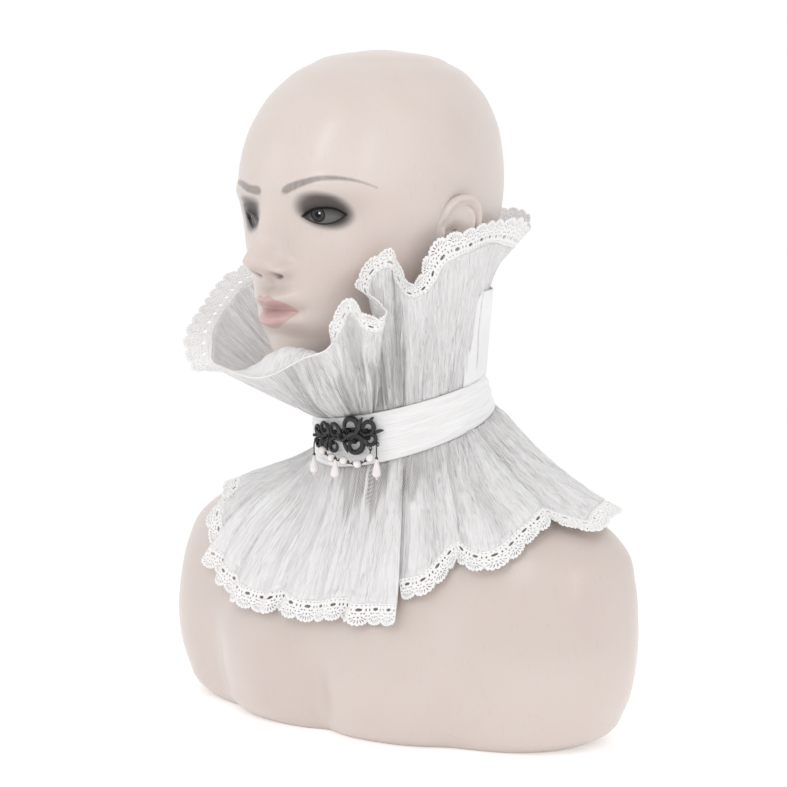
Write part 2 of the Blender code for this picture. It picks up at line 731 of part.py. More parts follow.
def tube_mesh(work, path, radius, sides=5):
    """Capped tube along a path, added to a bmesh."""
    path = np.array(path, float)
    ahead = np.gradient(path, axis=0)
    ahead /= np.linalg.norm(ahead, axis=1, keepdims=True)
    up = np.array((0.3, -0.2, 0.93))
    rings = []
    for point, forward in zip(path, ahead):
        side = np.cross(forward, up)
        side /= np.linalg.norm(side)
        upright = np.cross(side, forward)
        ring = []
        for k in range(sides):
            turn = 2 * math.pi * k / sides
            offset = side * math.cos(turn) + upright * math.sin(turn)
            ring.append(work.verts.new(tuple(point + radius * offset)))
        rings.append(ring)
        up = upright
    for low, high in zip(rings, rings[1:]):
        for k in range(sides):
            work.faces.new((low[k], low[(k + 1) % sides], high[(k + 1) % sides], high[k]))
    work.faces.new(tuple(reversed(rings[0])))
    work.faces.new(tuple(rings[-1]))


def brooch_point(along, up, lift):
    """Point of the brooch, laid on the band's outer face."""
    angle = BROOCH["angle"] + math.degrees(along / (BAND_TOP["radius"] + 3.0))
    top = band_point(angle, 0.0)
    bottom = band_point(angle, 1.0)
    share = BROOCH["share"] - up / np.linalg.norm(bottom - top)
    return band_point(angle, share, BROOCH["lift"] + lift)


def body_from_work(name, work, material):
    """Object from a bmesh in millimetres."""
    bmesh.ops.recalc_face_normals(work, faces=work.faces)
    mesh = bpy.data.meshes.new(name)
    bmesh.ops.scale(work, vec=(MM, MM, MM), verts=work.verts)
    work.to_mesh(mesh)
    work.free()
    mesh.materials.append(material)
    body = bpy.data.objects.new(name, mesh)
    collection.objects.link(body)
    return body


def join_bodies(target, others):
    """Exact union of several bodies into the first."""
    for other in others:
        union = target.modifiers.new("join", "BOOLEAN")
        union.operation = "UNION"
        union.solver = "EXACT"
        union.object = other
        union.use_self = True
        graph = bpy.context.evaluated_depsgraph_get()
        mesh = bpy.data.meshes.new_from_object(target.evaluated_get(graph))
        target.modifiers.clear()
        target.data = mesh
        bpy.data.objects.remove(other, do_unlink=True)
    return target


def make_brooch():
    """Bent backing bar with scrolls of round wire."""
    work = bmesh.new()
    corners = {}
    columns = 13
    for i in range(columns):
        along = -24.5 + 49.0 * i / (columns - 1)
        taper = 4.2 + 0.8 * math.cos(along / 24.5 * math.pi * 1.5)
        for k, (up, lift) in enumerate(((-taper, 0.0), (taper, 0.0), (taper, 1.4), (-taper, 1.4))):
            corners[i, k] = work.verts.new(tuple(brooch_point(along, up, lift)))
    for i in range(columns - 1):
        for k in range(4):
            m = (k + 1) % 4
            work.faces.new((corners[i, k], corners[i, m], corners[i + 1, m], corners[i + 1, k]))
    work.faces.new(tuple(corners[0, k] for k in (3, 2, 1, 0)))
    work.faces.new(tuple(corners[columns - 1, k] for k in range(4)))
    bar = body_from_work("brooch", work, METAL)
    scrolls = []
    for number, (along, up, outer, turns, start, hand, wire) in enumerate(SCROLLS):
        path = []
        steps = 9
        for k in range(steps + 1):
            share = k / steps
            turn = math.radians(start) + hand * 2 * math.pi * turns * share
            reach = outer * (1.0 - 0.72 * share)
            across = along + reach * math.cos(turn)
            path.append(brooch_point(across, up + reach * math.sin(turn), 1.0 + 0.9 * share))
        work = bmesh.new()
        tube_mesh(work, path, wire, 4)
        scrolls.append(body_from_work(f"scroll_{number}", work, METAL))
    return join_bodies(bar, scrolls)


def hung_point(angle, height, out):
    """Point in front of the band at one height."""
    top = band_point(angle, 0.0)
    bottom = band_point(angle, 1.0)
    share = (top[2] - height) / (top[2] - bottom[2])
    share = min(share, 1.35)
    point = band_point(angle, share, out)
    point[2] = height
    return point


def lathe_body(name, base, rows, material, sides=8):
    """Turned body: rows of radius and height over its base point."""
    points = []
    faces = []
    for radius, height in rows:
        for k in range(sides):
            turn = 2 * math.pi * k / sides
            points.append(base + np.array((radius * math.cos(turn), radius * math.sin(turn), height)))
    for row in range(len(rows) - 1):
        for k in range(sides):
            m = (k + 1) % sides
            faces.append((row * sides + k, row * sides + m, (row + 1) * sides + m, (row + 1) * sides + k))
    faces.append(tuple(range(sides)))
    faces.append(tuple(range((len(rows) - 1) * sides, len(rows) * sides)))
    return add_body(name, points, faces, material)


def ball_rows(radius, steps):
    """Radius and height rows of a ball with small flat poles."""
    rows = []
    for k in range(steps + 1):
        turn = math.pi * (0.08 + 0.84 * k / steps)
        rows.append((radius * math.sin(turn), -radius * math.cos(turn)))
    return rows


def wire_body(name, path, radius=0.35, sides=5):
    """Round wire along a path."""
    work = bmesh.new()
    tube_mesh(work, path, radius, sides)
    return body_from_work(name, work, METAL)


def make_pearls():
    """Pearls of the swag with a link between neighbours, and the three drops with their wires."""
    centres = [hung_point(angle, height, PEARL_OUT) for angle, height in SWAG_PEARLS]
    for number, centre in enumerate(centres, start=1):
        lathe_body(f"swag_pearl_{number}", centre, ball_rows(PEARL_RADIUS, 6), PEARL)
    for number, (a, b) in enumerate(zip(centres, centres[1:]), start=1):
        ahead = (b - a) / np.linalg.norm(b - a)
        start = a + ahead * (PEARL_RADIUS + SEAM_GAP)
        end = b - ahead * (PEARL_RADIUS + SEAM_GAP)
        middle = (start + end) / 2 - np.array((0, 0, 0.8))
        wire_body(f"swag_link_{number}", [start, middle, end], 0.5)
    for name, pearl, angle, height in SWAG_ENDS:
        top = hung_point(angle, height, PEARL_OUT - 1.4)
        ahead = top - centres[pearl]
        ahead /= np.linalg.norm(ahead)
        start = centres[pearl] + ahead * (PEARL_RADIUS + SEAM_GAP)
        wire_body(name, [start, (start + top) / 2, top], 0.45)
    for name, angle, height, wire, out in DROPS:
        top = hung_point(angle, height, out)
        end = hung_point(angle, height, max(out, PEARL_OUT)) - np.array((0, 0, wire))
        bend = (top + end) / 2 + np.array((0, 0, 0.2 * wire))
        bend[:2] = end[:2]
        wire_body(f"{name}_wire", [top, bend, end], 0.45)
        base = end - np.array((0, 0, DROP_PROFILE[-1][1] + SEAM_GAP))
        lathe_body(f"{name}_pearl", base, DROP_PROFILE, PEARL)


make_bust()
make_band()
make_ruffle()
for stay in STAYS:
    make_stay(*stay)
for panel in PANELS:
    make_panel(*panel)
make_ruffle_lace()
make_brooch()
make_pearls()
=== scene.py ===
# Looks of a detachable ruffle collar with its brooch and pearls, shown on a plain display bust.
# Tables are in millimetres and degrees; angle 0 is the front, +90 the wearer's left.
import math

import bpy
import numpy as np
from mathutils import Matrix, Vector
from mathutils.geometry import delaunay_2d_cdt


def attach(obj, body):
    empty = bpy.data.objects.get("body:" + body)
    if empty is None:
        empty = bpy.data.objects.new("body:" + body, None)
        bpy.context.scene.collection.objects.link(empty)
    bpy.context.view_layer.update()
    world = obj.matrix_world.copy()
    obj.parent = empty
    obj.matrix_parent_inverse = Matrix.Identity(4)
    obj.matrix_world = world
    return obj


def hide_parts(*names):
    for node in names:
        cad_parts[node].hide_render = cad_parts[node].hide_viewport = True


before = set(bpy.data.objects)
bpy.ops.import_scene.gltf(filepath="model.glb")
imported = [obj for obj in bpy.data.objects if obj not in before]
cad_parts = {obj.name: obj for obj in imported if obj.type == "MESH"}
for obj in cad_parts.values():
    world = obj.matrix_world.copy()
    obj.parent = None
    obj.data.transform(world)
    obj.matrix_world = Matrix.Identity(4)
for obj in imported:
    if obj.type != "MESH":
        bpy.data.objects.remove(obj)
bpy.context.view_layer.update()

MM = 0.001
FLOOR_RADIUS = 1.5       # metres
AXIS_Y = -4.0            # the collar's upright axis stands at x = 0, y = AXIS_Y

# Camera: azimuth, elevation, distance, lens and the point that it looks at
CAMERA = dict(azimuth=40.0, elevation=6.0, distance=1700.0, lens=116.07, target=(-4.9, -4.1, 216.0))

# The band's two edge rings: centre y, centre height, radius, rise per mm of x, rise per mm of y
BAND_TOP = dict(y=-4.7, z=217.0, radius=57.3, rise_x=0.136, rise_y=0.205)
BAND_BOTTOM = dict(y=2.0, z=191.4, radius=60.3, rise_x=0.105, rise_y=0.310)
BAND_OPENING = 178.0
BAND_WALL = 2.0
BAND_HEIGHT = 37.0
BAND_RADIUS = 60.0       # mean radius, to turn degrees round the band into millimetres

# Bust sections: height, centre y, half width, front depth, back depth, squareness, turn of the head
BUST_SECTIONS = (
    (0, -4, 151, 76, 58, 2.25, 0), (6, -4, 163, 82, 66, 2.25, 0), (22, -4, 175, 86, 72, 2.25, 0),
    (50, -4, 183, 87, 74, 2.3, 0), (80, -3, 184, 82, 74, 2.3, 0), (105, -1, 181, 75, 69, 2.3, 0),
    (125, 2, 173, 68, 65, 2.25, 0), (142, 5, 148, 61, 60, 2.15, 0), (155, 7, 112, 57, 57, 2.0, 0),
    (167, 6, 75, 52.5, 53, 2.0, 0), (180, 2, 53.5, 49, 51, 2.0, 0), (200, -3, 49, 48, 50, 2.0, 0.5),
    (218, -8, 47, 50, 50, 2.0, 1), (229, -12, 46, 60, 51, 1.95, 2), (236, -16, 47, 70, 53, 1.9, 2),
    (246, -22, 49, 82, 58, 1.9, 2), (262, -30, 54, 87, 66, 1.95, 2), (285, -34, 61, 88, 80, 2.05, 2),
    (315, -36, 67, 86, 94, 2.15, 2), (345, -36, 73, 90, 102, 2.15, 2), (375, -34, 74, 90, 100, 2.1, 2),
    (400, -31, 69, 82, 92, 2.05, 2), (420, -28, 58, 68, 77, 2.0, 2), (434, -25, 42, 48, 54, 2.0, 2),
    (441, -24, 24, 27, 30, 2.0, 2), (443.5, -24, 6, 6, 6, 2.0, 2),
)

# Soft forms on the bust: angle, height, spread in degrees, spread in height, push outwards
BUST_FORMS = (
    (-2.0, 308, 6.4, 6.8, 19.0),    # nose tip
    (-2, 317, 4.6, 8.0, 15.0),      # nose ridge
    (-1.5, 330, 4.3, 10.0, 7.5),    # nose bridge
    (-0.5, 342, 5.5, 9.0, 2.8),
    (6.8, 304.5, 3.5, 4.3, 9.5),    # nostril wings
    (-10.0, 304.5, 4.0, 4.5, 7.5),
    (24, 339, 11.0, 9.0, -9.5),     # eye sockets
    (-21, 335.5, 11.0, 9.0, -9.5),
    (23.5, 340, 9.0, 6.5, 5.0),     # eyelids
    (-19.5, 336.5, 9.0, 6.5, 5.0),
    (22, 357, 15.0, 6.0, 3.0),      # brows
    (-20, 353, 15.0, 6.0, 3.0),
    (-1.5, 286.5, 11.5, 4.6, 8.5),  # upper lip
    (-1.5, 279, 12.0, 2.3, -2.4),   # line of the mouth
    (-1.5, 272, 10.0, 4.8, 8.5),    # lower lip
    (-1, 262, 12.0, 4.0, -1.5),     # hollow over the chin
    (-1, 248, 18.0, 8.0, 6.0),      # chin
    (44, 305, 15.0, 13.0, 3.5),     # cheekbones
    (-44, 305, 15.0, 13.0, 2.0),
    (91, 330, 7.5, 15.0, 2.0),      # roots of the ears
    (-91, 330, 7.5, 15.0, 2.0),
    (58, 30, 9.0, 60.0, -10.0),     # grooves between arm and chest
    (-58, 30, 9.0, 60.0, -10.0),
    (30, 34, 17.0, 34.0, 8.0),      # chest
    (-30, 34, 17.0, 34.0, 8.0),
    (0, 20, 9.0, 34.0, -7.0),
    (-0.5, 294, 1.8, 4.0, -1.0),    # groove over the lip
    (3.2, 301.0, 2.8, 1.8, -5.5),   # nostrils
    (-7.6, 301.4, 2.2, 1.8, -4.5),
    (23, 349.0, 9.0, 1.5, -1.3),    # creases of the lids
    (-19, 345.5, 9.0, 1.5, -1.3),
    (40, 285, 15.0, 16.0, -3.5),    # cheeks under the cheekbones
    (-46, 287, 19.0, 17.0, -7.0),
    (11.0, 277, 2.5, 3.0, -1.8),    # corners of the mouth
    (-13.0, 277, 2.5, 3.0, -1.8),
)
FACE_DENSITY = 0.55      # how much closer the columns stand on the face
BUST_COLUMNS = 380

# The ruffle's folds: angle at the band, then the cloth edge (angle, radius, height), how late the
# cloth flares, how far it rolls over, and the lace tip (angle, radius, height)
RUFFLE_FOLDS = (
    (177, 177, 88, 326, 4.0, 0, 177, 98, 338), (165, 165, 88, 325, 4.0, 0, 165, 98, 338),
    (151, 151, 83, 320, 4.0, 0, 152, 95, 335), (138, 139, 78, 314, 4.0, 0, 140, 89, 326),
    (120, 115, 73, 316, 3.4, 0, 122, 82, 334), (105, 99, 73, 319, 2.2, 0, 100, 77, 334),
    (91, 83, 80, 319, 1.5, 0, 82, 83, 333), (79, 71, 86, 315, 1.2, 0, 69, 89, 329),
    (70, 61, 91, 311, 1.1, 0, 57, 95, 326), (63, 56, 94, 305, 1.05, 0, 50, 98, 316),
    (57, 53, 97, 297, 1.05, 0, 48, 100, 306), (52, 49, 99, 290, 1.05, 0, 46, 104, 299),
    (46, 43, 103, 288, 1.05, 0, 43, 111, 297), (42, 39, 107, 298, 1.05, 0, 40, 113, 309),
    (38, 37, 110, 307, 1.05, 0, 37, 113, 319), (35, 32, 112, 303, 1.05, 0, 30, 116, 311),
    (32, 30, 112, 293, 1.05, 0, 26, 116, 296), (29, 32, 112, 282, 1.05, 0, 31, 119, 290),
    (26.5, 35, 113, 273, 1.05, 0, 36, 121, 281), (24, 34, 121, 268, 1.05, 0, 34, 128, 277),
    (21.5, 30, 126, 270, 1.05, 0, 30, 132, 281), (18.5, 26, 126, 280, 1.05, 0, 26, 131, 290),
    (15, 23, 126, 268, 1.05, 0, 21, 133, 273), (11, 19, 127, 256, 1.0, 2, 19.5, 122, 254),
    (5, 14, 137, 251, 1.0, 13, 13, 124, 253), (-1, 11, 143, 246, 1.0, 19, 9.5, 130, 250),
    (-7, 7, 145, 241, 1.0, 23, 5, 131, 245), (-14, -2, 136, 237, 1.0, 20, -3.5, 122, 240),
    (-20, -21, 121, 236, 1.0, 6, -23, 110, 233), (-27, -34, 120, 237, 1.0, 0, -38, 128, 234),
    (-35, -44, 125, 239, 1.0, 0, -46, 138, 233), (-43, -53, 126, 248, 1.0, 0, -53, 145, 248),
    (-51, -60, 128, 257, 1.0, 0, -60, 145, 260), (-60, -70, 129, 267, 1.0, 0, -69, 143, 272),
    (-70, -79, 131, 276, 1.05, 0, -77, 146, 281), (-80, -87, 136, 283, 1.1, 0, -85, 149, 290),
    (-92, -94, 133, 289, 1.3, 0, -94, 145, 299), (-108, -109, 112, 303, 2.0, 0, -108, 122, 315),
    (-126, -127, 92, 314, 3.6, 0, -126, 102, 327), (-145, -146, 83, 321, 4.2, 0, -146, 93, 334),
    (-162, -162, 88, 325, 4.0, 0, -162, 98, 338), (-177, -177, 88, 326, 4.0, 0, -177, 98, 338),
)
RUFFLE_LIFT = 0.3        # the ruffle's foot over the band's top edge

# Hems of the three lower panels: cloth edge angle, radius, height
BIB_HEM = (
    (-62, 117, 109), (-54, 109, 101), (-44, 100, 92), (-29, 88, 87), (-21, 83, 91), (-4, 79, 87),
    (14, 80, 92), (23, 84, 90), (39, 94, 93),
)
LEFT_HEM = (
    (35.5, 85, 104), (40.5, 90, 107), (47, 95, 111), (52, 97, 119), (58, 101, 130), (60, 105, 133),
    (62, 111, 130), (65, 118, 128), (71, 123, 134), (77, 128, 145), (83, 130, 153), (86, 142, 150),
    (90, 150, 146), (96, 150, 151), (104, 145, 153), (114, 134, 153), (128, 114, 153), (145, 104, 157),
    (162, 98, 158), (177, 96, 158),
)
RIGHT_HEM = (
    (-59.5, 103, 116), (-63.5, 108, 119), (-68, 112, 129), (-72, 113, 138), (-78, 115, 147),
    (-86, 125, 150), (-94, 143, 147), (-102, 144, 151), (-112, 136, 153), (-126, 117, 153),
    (-145, 104, 157), (-162, 98, 158), (-177, 96, 158),
)
# Lower panels: name, hem, columns, waves at the hem, wave height, seed, gloss of the cloth
PANELS = (
    ("front_bib", BIB_HEM, 260, 7.0, 3.2, 31, "satin"),
    ("side_flounce_left", LEFT_HEM, 380, 8.0, 2.4, 47, "crinkle"),
    ("side_flounce_right", RIGHT_HEM, 280, 5.0, 1.2, 59, "crinkle"),
)
PANEL_ROWS = 44
PANEL_DROP = 0.3         # the panels' start under the band's lower edge
PANEL_SAG = 0.3          # how far the fall hollows, as a share of its height
PANEL_CLEAR = 2.9        # the cloth's distance off the bust
PANEL_EASE = 3.0         # how softly the cloth leaves the bust's skin
LACE_CLEAR = 1.4         # the lace's distance off the bust
HEM_LACE = 14.0          # length of the lace below a hem
CLOTH_THICK = 0.6
HEM_BAND = 5.0           # the sewn band along each cloth edge

# Lace repeat: its length, then eyelets and slots (centre x, centre y, half length, half height, turn)
LACE_REPEAT = 12.0
LACE_HEIGHT = 15.2
LACE_VALLEY = 10.4
LACE_WALL = 0.7
LACE_MIDDLE = (6.0, 6.5)
LACE_HOLES = (
    (6.0, 4.3, 2.2, 1.1, 0), (1.3, 1.7, 0.6, 0.4, 0), (4.4, 1.5, 0.6, 0.38, 0), (7.6, 1.5, 0.6, 0.38, 0),
    (10.7, 1.7, 0.6, 0.4, 0), (1.3, 4.6, 0.6, 1.0, 0), (10.7, 4.6, 0.6, 1.0, 0), (2.5, 6.9, 0.75, 0.5, 20),
    (9.5, 6.9, 0.75, 0.5, -20), (4.4, 6.9, 0.65, 0.45, 0), (7.6, 6.9, 0.65, 0.45, 0),
    (1.1, 8.6, 0.6, 0.5, 0), (10.9, 8.6, 0.6, 0.5, 0), (1.9, 10.6, 1.3, 0.36, 155),
    (3.15, 11.6, 1.4, 0.36, 130), (4.5, 12.1, 1.45, 0.36, 110), (6.0, 12.3, 1.5, 0.36, 90),
    (7.5, 12.1, 1.45, 0.36, 70), (8.85, 11.6, 1.4, 0.36, 50), (10.1, 10.6, 1.3, 0.36, 25),
    (3.9, 9.3, 0.8, 0.4, 135), (6.0, 9.4, 0.7, 0.6, 90), (8.1, 9.3, 0.8, 0.4, 45),
)

BROOCH = dict(angle=1.0, share=0.37, lift=1.5)
# Scrolls: centre along, centre up, outer radius, turns, start angle, hand, wire radius
SCROLLS = (
    (7.0, 6.6, 7.6, 1.10, 215, 1, 1.55), (9.5, -6.4, 7.2, 1.15, 130, -1, 1.5),
    (-5.5, 5.6, 5.2, 1.10, -30, -1, 1.05), (-7.0, -5.8, 5.4, 1.15, 40, 1, 1.1),
    (19.5, 4.2, 5.6, 1.15, 200, 1, 1.2), (20.5, -4.6, 4.8, 1.10, 150, -1, 1.1),
    (-15.5, 6.6, 5.0, 1.20, 10, -1, 1.0), (-16.5, -4.0, 5.2, 1.10, 60, 1, 1.05),
    (-24.0, 4.4, 4.4, 1.15, -20, -1, 0.95), (-24.0, -4.4, 4.4, 1.10, 30, 1, 0.95),
    (1.0, 0.5, 4.2, 1.05, 90, 1, 1.0),
)
# Leaves on the brooch: root along, root up, length, turn, half width
LEAVES = (
    (-0.5, 1.0, 8.0, 108, 1.3), (1.0, -3.0, 8.5, -70, 1.3), (14.5, 2.5, 9.0, 74, 1.4),
    (15.5, -2.0, 7.5, -66, 1.3), (-11.0, 1.0, 8.5, 96, 1.2), (-12.0, -1.5, 8.0, -100, 1.2),
    (24.5, -0.5, 5.5, 8, 1.1), (22.0, 7.0, 4.0, 50, 1.0), (-26.5, 0.0, 3.5, 180, 1.0),
    (-19.0, 1.0, 7.0, 160, 1.1), (5.0, -0.5, 8.0, 12, 1.5),
)
# Round pearls: angle, height over the floor
SWAG_PEARLS = (
    (-14.0, 182.5), (-6.0, 178.5), (3.0, 177.5), (12.0, 176.0), (20.2, 180.5),
)
PEARL_RADIUS = 2.9
PEARL_OUT = 6.0          # the pearls' distance off the band
PEARL_BITE = 0.2         # how far a wire goes into a pearl
WIRE = 0.42              # radius of the links and hangers
LONG_WIRE = 5.0          # a longer hanger has a second ring
# Drop pearls: name, angle, height of the hanging point, length of the wire, distance off the band
DROPS = (
    ("drop_right", -23.0, 189.5, 10.5, 4.5),
    ("drop_middle", -1.5, 180.2, 1.6, 7.9),
    ("drop_left", 25.0, 190.5, 10.0, 4.0),
)
DROP_PROFILE = (
    (0.0, 0.0), (1.5, 0.25), (2.6, 1.3), (3.0, 2.8), (2.85, 4.6), (2.1, 7.4), (1.3, 10.0), (0.75, 12.0),
    (0.0, 12.5),
)
SWAG_ENDS = (
    ("swag_hook_right", 0, -14.0, 188.0),
    ("swag_hook_left", 4, 20.6, 186.5),
)

# Painted face of the left side, in degrees round the head and millimetres of height
EYE = dict(left=23.8, right=18.8, z=338.6, half=13.4, top=4.8, bottom=5.0, tilt=0.6)
# the iris's glint place marks a painted highlight
IRIS = dict(left=-4.4, right=2.0, z=339.2, painted_glint=(1.2, 340.2))
FAR_DROP = 3.6           # the far side of the face stands lower
# Brow: degrees off the middle, height, half thickness
BROW = (
    (4.5, 352.6, 2.4), (9.0, 355.2, 2.8), (15, 358.6, 2.3), (22, 361.6, 1.7), (29, 362.2, 1.2),
    (37, 360.6, 0.7), (47, 355.8, 0.1),
)
LIPS = dict(middle=-1.6, half=12.2, line=278.5, bow=288.6, dip=287.0, bottom=266.8)
SKIN_RADIUS = 84.0       # radius of the face, to turn degrees into millimetres
FAR_OFF = 30.0           # distance given where no painted edge is near


# ---- curves, noise and mesh helpers

def curve_through(stations, values, where):
    """Smooth cubic through rows of values given at rising stations."""
    stations = np.asarray(stations, float)
    values = np.asarray(values, float)
    where = np.clip(np.asarray(where, float), stations[0], stations[-1])
    slope = np.gradient(values, stations, axis=0)
    left = np.clip(np.searchsorted(stations, where) - 1, 0, len(stations) - 2)
    width = stations[left + 1] - stations[left]
    t = (where - stations[left]) / width
    if values.ndim == 2:
        t = t[..., None]
        width = width[..., None]
    start = (2 * t**3 - 3 * t**2 + 1) * values[left]
    end = (3 * t**2 - 2 * t**3) * values[left + 1]
    leave = (t**3 - 2 * t**2 + t) * width * slope[left]
    arrive = (t**3 - t**2) * width * slope[left + 1]
    return start + end + leave + arrive


def smooth_noise(seed, where):
    """Smooth random values from -1 to 1 along a line, the same on each run."""
    lattice = np.random.RandomState(seed).uniform(-1, 1, 4096)
    where = np.asarray(where, float)
    cell = np.floor(where).astype(int)
    t = where - cell
    t = t * t * (3 - 2 * t)
    return lattice[cell % 4096] * (1 - t) + lattice[(cell + 1) % 4096] * t


def smooth_step(low, high, value):
    """0 below low, 1 over high, smooth between."""
    t = np.clip((value - low) / (high - low), 0, 1)
    return t * t * (3 - 2 * t)


def polar(angle, radius, height):
    """Points round the collar's upright axis."""
    turn = np.radians(angle)
    return np.stack([radius * np.sin(turn), AXIS_Y - radius * np.cos(turn), height + 0.0 * turn], axis=-1)


def cross_grid(first, second):
    """Two grids that cross every value of one list with every value of another."""
    return np.meshgrid(first, second, indexing="ij")


def turned(x, y, turn):
    """A flat place turned by an angle in radians."""
    return x * math.cos(turn) - y * math.sin(turn), x * math.sin(turn) + y * math.cos(turn)


def spot(across, up, wide, tall):
    """Soft round spot: 1 at its middle, fading out over its widths."""
    return np.exp(-((across / wide) ** 2) - (up / tall) ** 2)


def round_axis(points):
    """Direction in radians and distance of points from the collar's upright axis."""
    x, y = points[..., 0], points[..., 1] - AXIS_Y
    return np.arctan2(x, -y), np.hypot(x, y)


def eased_rows(rows, times):
    """Rows smoothed along their line, with both ends kept."""
    for _ in range(times):
        rows[1:-1] = (rows[:-2] + rows[1:-1] * 2 + rows[2:]) / 4
    return rows


def unit(vectors):
    """Vectors scaled to length 1."""
    return vectors / np.linalg.norm(vectors, axis=-1, keepdims=True)


def new_piece(name, points, faces, material, uv=None, marks=None, smooth=True):
    """Object from points in millimetres, with its faces turned outwards."""
    points = np.asarray(points, float)
    faces = [tuple(int(i) for i in f) for f in faces]
    first = points[[f[0] for f in faces]]
    volume = 0.0
    for k in range(1, max(len(f) for f in faces) - 1):
        b = points[[f[min(k, len(f) - 1)] for f in faces]]
        c = points[[f[min(k + 1, len(f) - 1)] for f in faces]]
        volume += float((first * np.cross(b, c)).sum())
    if volume < 0:
        faces = [f[::-1] for f in faces]
    mesh = bpy.data.meshes.new(name)
    mesh.from_pydata((points * MM).tolist(), [], faces)
    mesh.materials.append(material)
    mesh.polygons.foreach_set("use_smooth", [smooth] * len(mesh.polygons))
    loops = np.empty(len(mesh.loops), int)
    mesh.loops.foreach_get("vertex_index", loops)
    if uv is not None:
        layer = mesh.uv_layers.new(name="UVMap")
        layer.data.foreach_set("uv", np.asarray(uv, float)[loops].ravel())
    for label, values in (marks or {}).items():
        values = np.asarray(values, float)
        if values.ndim == 2:
            layer = mesh.attributes.new(label, "FLOAT_VECTOR", "POINT")
            layer.data.foreach_set("vector", values.ravel())
        else:
            layer = mesh.attributes.new(label, "FLOAT", "POINT")
            layer.data.foreach_set("value", values)
    mesh.update()
    piece = bpy.data.objects.new(name, mesh)
    bpy.context.scene.collection.objects.link(piece)
    return piece


def grid_normals(grid):
    """Unit normals of a grid of points, turned away from the collar's axis."""
    normal = unit(np.cross(np.gradient(grid, axis=0), np.gradient(grid, axis=1)) + 1e-12)
    away = grid - np.array((0.0, AXIS_Y, 0.0))
    away[..., 2] = 0.0
    if (normal * away).sum() < 0:
        normal = -normal
    return normal


def wall_faces(columns, rows, closed=False):
    """Quads of a closed wall: outer points first, then inner points."""
    half = columns * rows
    i = np.arange(columns if closed else columns - 1)
    j = np.arange(rows - 1)
    a = (i[:, None] * rows + j[None, :]).ravel()
    b = (((i + 1) % columns)[:, None] * rows + j[None, :]).ravel()
    quads = [
        np.stack([a, b, b + 1, a + 1], 1),
        np.stack([half + a, half + a + 1, half + b + 1, half + b], 1),
    ]
    for row, flip in ((0, False), (rows - 1, True)):
        a = i * rows + row
        b = ((i + 1) % columns) * rows + row
        side = [b, a, half + a, half + b]
        quads.append(np.stack(side[::-1] if flip else side, 1))
    if not closed:
        for column, flip in ((0, False), (columns - 1, True)):
            a = column * rows + j
            side = [a, a + 1, half + a + 1, half + a]
            quads.append(np.stack(side[::-1] if flip else side, 1))
    return np.concatenate(quads)


def wall_piece(name, grid, normal, outward, inward, material, uv, marks=None):
    """Closed wall round a grid of points, as thick as the two offsets."""
    columns, rows = grid.shape[:2]
    outward = np.broadcast_to(outward, (columns, rows))[..., None]
    inward = np.broadcast_to(inward, (columns, rows))[..., None]
    outer = grid + normal * outward
    inner = grid - normal * inward
    points = np.concatenate([outer.reshape(-1, 3), inner.reshape(-1, 3)])
    uv = np.asarray(uv).reshape(-1, 2)
    uv = np.concatenate([uv, uv])
    both = {k: np.concatenate([v.ravel(), v.ravel()]) for k, v in (marks or {}).items()}
    return new_piece(name, points, wall_faces(columns, rows), material, uv, both)


def finish_piece(piece, body, node):
    """Body and replaced node of one piece."""
    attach(piece, body)
    if node:
        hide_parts(node)


# ---- materials

